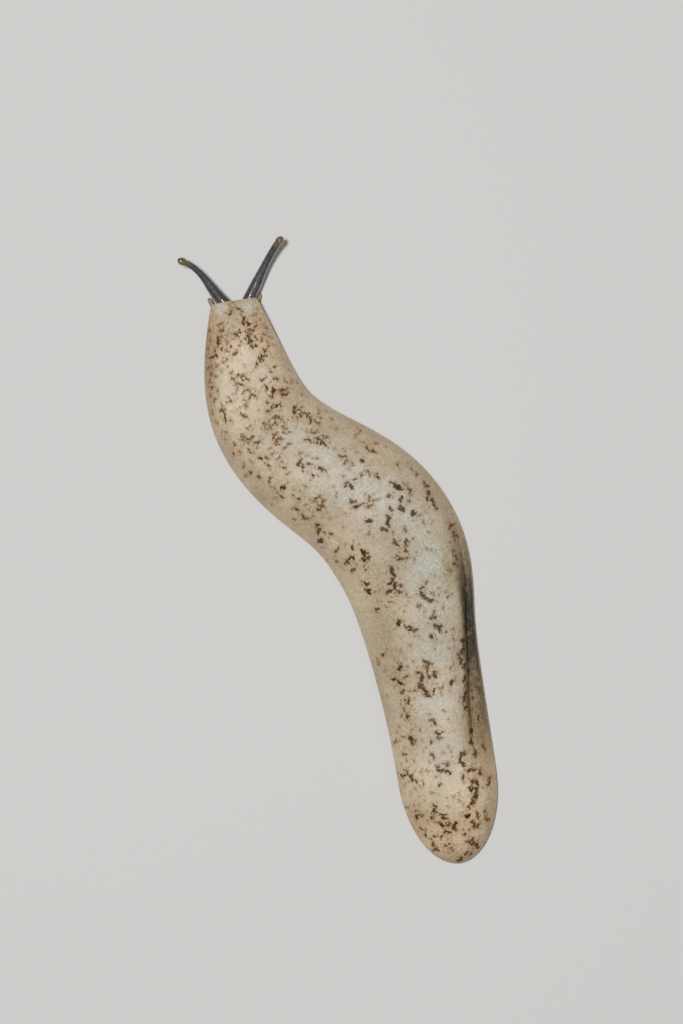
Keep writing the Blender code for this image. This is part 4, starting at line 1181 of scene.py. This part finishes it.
def mantle_grain(nodes, base, pale_sheen, fold):
    """Mottling, fine grains and painted glints on the damp skin, fewer in the fold's painted shade."""
    mottle = nodes.ramp(nodes.noise(0.5, 5.0, 0.65), 0.3, 0.7, 0.74, 1.20)
    base = nodes.mix(1.0, base, mottle, "MULTIPLY")
    grains = nodes.ramp(nodes.cells(0.34), 0.05, 0.75, 1.14, 0.84)
    base = nodes.mix(1.0, base, grains, "MULTIPLY")
    # Painted glints: small bright points, strongest on the pale skin.
    painted_glint = nodes.ramp(nodes.noise(0.21, 2.0), 0.59, 0.67)
    painted_glint = nodes.times(painted_glint, nodes.ramp(pale_sheen, 0.0, 0.8, 0.16, 0.85))
    return nodes.mix(nodes.times(painted_glint, nodes.ramp(fold, 0.0, 0.4, 1.0, 0.0)), base, GLINT)


def mantle_marks(nodes, base, pale_sheen):
    """Stains, freckles and the dark flecks with their ragged edges, and how dark the flecks are."""
    smudge = nodes.times(nodes.attribute("stain"), nodes.ramp(nodes.noise(0.4, 4.0, 0.6), 0.35, 0.62))
    base = nodes.mix(nodes.times(smudge, 0.6), base, SMUDGE)
    freckle = nodes.ramp(nodes.noise(0.34, 3.0, 0.55, 0.8), 0.585, 0.64)
    thick = nodes.ramp(nodes.attribute("dust"), 0.05, 0.75, 0.12, 0.9)
    base = nodes.mix(nodes.times(freckle, thick), base, FRECKLE)
    coarse = nodes.swing(nodes.noise(0.40, 2.0), 0.40)
    blocks = nodes.swing(nodes.cells(0.22, "Color"), 0.18)
    fine = nodes.swing(nodes.noise(0.12, 3.0, 0.6), 0.20)
    ragged = nodes.math("ADD", coarse, nodes.math("ADD", blocks, fine))
    depth = nodes.math("ADD", nodes.attribute("fleck"), ragged)
    halo = nodes.ramp(nodes.math("ADD", nodes.attribute("fleck"), coarse), -0.34, 0.02, 0.0, 0.45)
    base = nodes.mix(halo, base, HALO)
    fleck = nodes.times(nodes.ramp(depth, -0.05, 0.06), nodes.attribute("ink"))
    ink = nodes.mix(nodes.ramp(depth, 0.0, 0.14), *INK)
    # The flecks are greyer on the pale skin with its painted sheen.
    ink = nodes.mix(nodes.times(pale_sheen, 0.55), ink, GREY_INK)
    return nodes.mix(fleck, base, ink), fleck


def mantle_material():
    nodes = Nodes("mantle_skin")
    base, pale_sheen = mantle_ground(nodes)
    # Painted shade darkens the tucked fold, partly the flank's darker skin.
    fold = nodes.times(nodes.attribute("fold"), nodes.ramp(nodes.noise(0.9, 5.0, 0.62), 0.3, 0.6, 0.8, 1.0))
    base = nodes.mix(nodes.ramp(fold, 0.0, 0.95), base, FOLD_PAINTED_SHADE)
    base = mantle_grain(nodes, base, pale_sheen, fold)
    base, fleck = mantle_marks(nodes, base, pale_sheen)
    rough = nodes.damp(0.25, 0.46, 0.78)
    dull = nodes.math("MAXIMUM", fold, nodes.times(fleck, 0.7))
    rough = nodes.math("ADD", rough, nodes.times(dull, nodes.math("SUBTRACT", 0.95, rough)))
    nodes.set(Base_Color=base, Roughness=rough, Specular_IOR_Level=0.28, Coat_Weight=0.2, Coat_Roughness=0.13)
    nodes.set(Subsurface_Weight=0.03, Subsurface_Scale=0.001)
    nodes.bump(nodes.math("ADD", nodes.noise(0.16, 4.0, 0.6), nodes.cells(0.30)), 0.09)
    return nodes.material


def sole_material():
    nodes = Nodes("sole_skin")
    nodes.set(Base_Color=nodes.marbled(3.0, SOLE), Roughness=nodes.damp(0.6, 0.28, 0.45))
    nodes.set(Coat_Weight=0.3, Coat_Roughness=0.15, Subsurface_Weight=0.15, Subsurface_Scale=0.0015)
    nodes.bump(nodes.noise(0.3, 4.0), 0.05, 0.6)
    return nodes.material


def head_material():
    nodes = Nodes("head_skin")
    nodes.set(Base_Color=nodes.marbled(1.2, HEAD), Roughness=nodes.damp(0.5, 0.25, 0.42))
    nodes.set(Coat_Weight=0.3, Coat_Roughness=0.12, Subsurface_Weight=0.1, Subsurface_Scale=0.001)
    nodes.bump(nodes.cells(0.3), 0.05, 0.7)
    return nodes.material


def stalk_material():
    nodes = Nodes("stalk_skin")
    base = nodes.mix(nodes.attribute("tip"), nodes.marbled(0.5, STALK), nodes.marbled(0.4, STALK_TIP, 3.0))
    nodes.set(Base_Color=base, Roughness=nodes.damp(0.3, 0.5, 0.66))
    nodes.set(Specular_IOR_Level=0.22, Coat_Weight=0.75, Coat_Roughness=0.07)
    nodes.set(Subsurface_Weight=0.05, Subsurface_Scale=0.0008)
    nodes.bump(nodes.noise(0.4), 0.03, 0.8)
    return nodes.material


def feeler_material():
    nodes = Nodes("feeler_skin")
    nodes.set(Base_Color=nodes.marbled(0.6, FEELER), Roughness=nodes.damp(0.3, 0.5, 0.66))
    nodes.set(Specular_IOR_Level=0.3, Coat_Weight=0.15, Coat_Roughness=0.15)
    nodes.set(Subsurface_Weight=0.05, Subsurface_Scale=0.001)
    nodes.bump(nodes.noise(0.2), 0.02, 0.6)
    return nodes.material


def bead_material():
    nodes = Nodes("eye_bead")
    base = nodes.mix(nodes.ramp(nodes.noise(0.1, 2.0), 0.4, 0.6), *BEAD)
    nodes.set(Base_Color=base, Roughness=0.12, Coat_Weight=0.6, Coat_Roughness=0.03)
    return nodes.material


def build_eye(side, material):
    """The small dark eye, sunk into the end of the stalk's rounded tip."""
    tip, heading = stalk_end(side)
    centre = tip + heading * (EYE_RADIUS * EYE_STRETCH - BEAD_RADIUS * BEAD_SINK) + (0, 0, BEAD_LIFT)
    bpy.ops.mesh.primitive_uv_sphere_add(
        segments=32, ring_count=16, radius=BEAD_RADIUS * MM, location=Vector(centre) * MM
    )
    bead = bpy.context.object
    bead.name = "eye_bead_" + side
    bead.data.materials.append(material)
    bead.data.shade_smooth()
    return bead


def build_stage():
    bpy.ops.mesh.primitive_plane_add(size=FLOOR_SIZE, location=(0, 0, -FLOOR_DROP))
    floor = bpy.context.object
    floor.name = "studio_floor"
    nodes = Nodes("floor_paint")
    nodes.set(Base_Color=FLOOR, Roughness=0.85)
    floor.data.materials.append(nodes.material)


def add_light(name, location, size, power, color):
    lamp = bpy.data.lights.new(name, "AREA")
    lamp.shape = "DISK"
    lamp.size = size
    lamp.energy = power
    lamp.color = color
    thing = bpy.data.objects.new(name, lamp)
    thing.location = location
    thing.rotation_euler = (-Vector(location)).to_track_quat("-Z", "Y").to_euler()
    bpy.context.scene.collection.objects.link(thing)


def build_lights():
    world = bpy.data.worlds.new("studio")
    world.use_nodes = True
    background = world.node_tree.nodes["Background"]
    background.inputs["Color"].default_value = (*WORLD_COLOR, 1.0)
    background.inputs["Strength"].default_value = WORLD_STRENGTH
    bpy.context.scene.world = world
    add_light("key", location=(-0.09, 0.05, 0.54), size=0.07, power=5.3, color=(1.0, 0.97, 0.92))
    add_light("fill", location=(0.30, -0.10, 0.45), size=0.45, power=0.3, color=(1.0, 0.99, 0.97))


def build_camera():
    middle_x, middle_y = from_pixel(PHOTO_SIZE[0] / 2, PHOTO_SIZE[1] / 2)
    lens = bpy.data.cameras.new("camera")
    lens.sensor_width = SENSOR
    lens.lens = SENSOR * CAMERA_DISTANCE / (PHOTO_SIZE[1] / PHOTO_SCALE * MM)
    lens.clip_start = 0.01
    camera = bpy.data.objects.new("camera", lens)
    camera.location = (middle_x * MM, middle_y * MM, CAMERA_DISTANCE)
    bpy.context.scene.collection.objects.link(camera)
    bpy.context.scene.camera = camera


def main():
    build_camera()
    build_lights()
    build_stage()
    materials = {
        "mantle": mantle_material(),
        "head": head_material(),
        "stalk": stalk_material(),
        "feeler": feeler_material(),
        "sole": sole_material(),
    }
    skin = build_skin(materials)
    paint_skin(skin)
    skin.data.shade_smooth()
    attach(skin, "root")
    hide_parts(*[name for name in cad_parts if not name.startswith("eye_")])
    bead = bead_material()
    for side in STALKS:
        eye = build_eye(side, bead)
        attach(eye, "root")
        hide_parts("eye_" + side)


main()
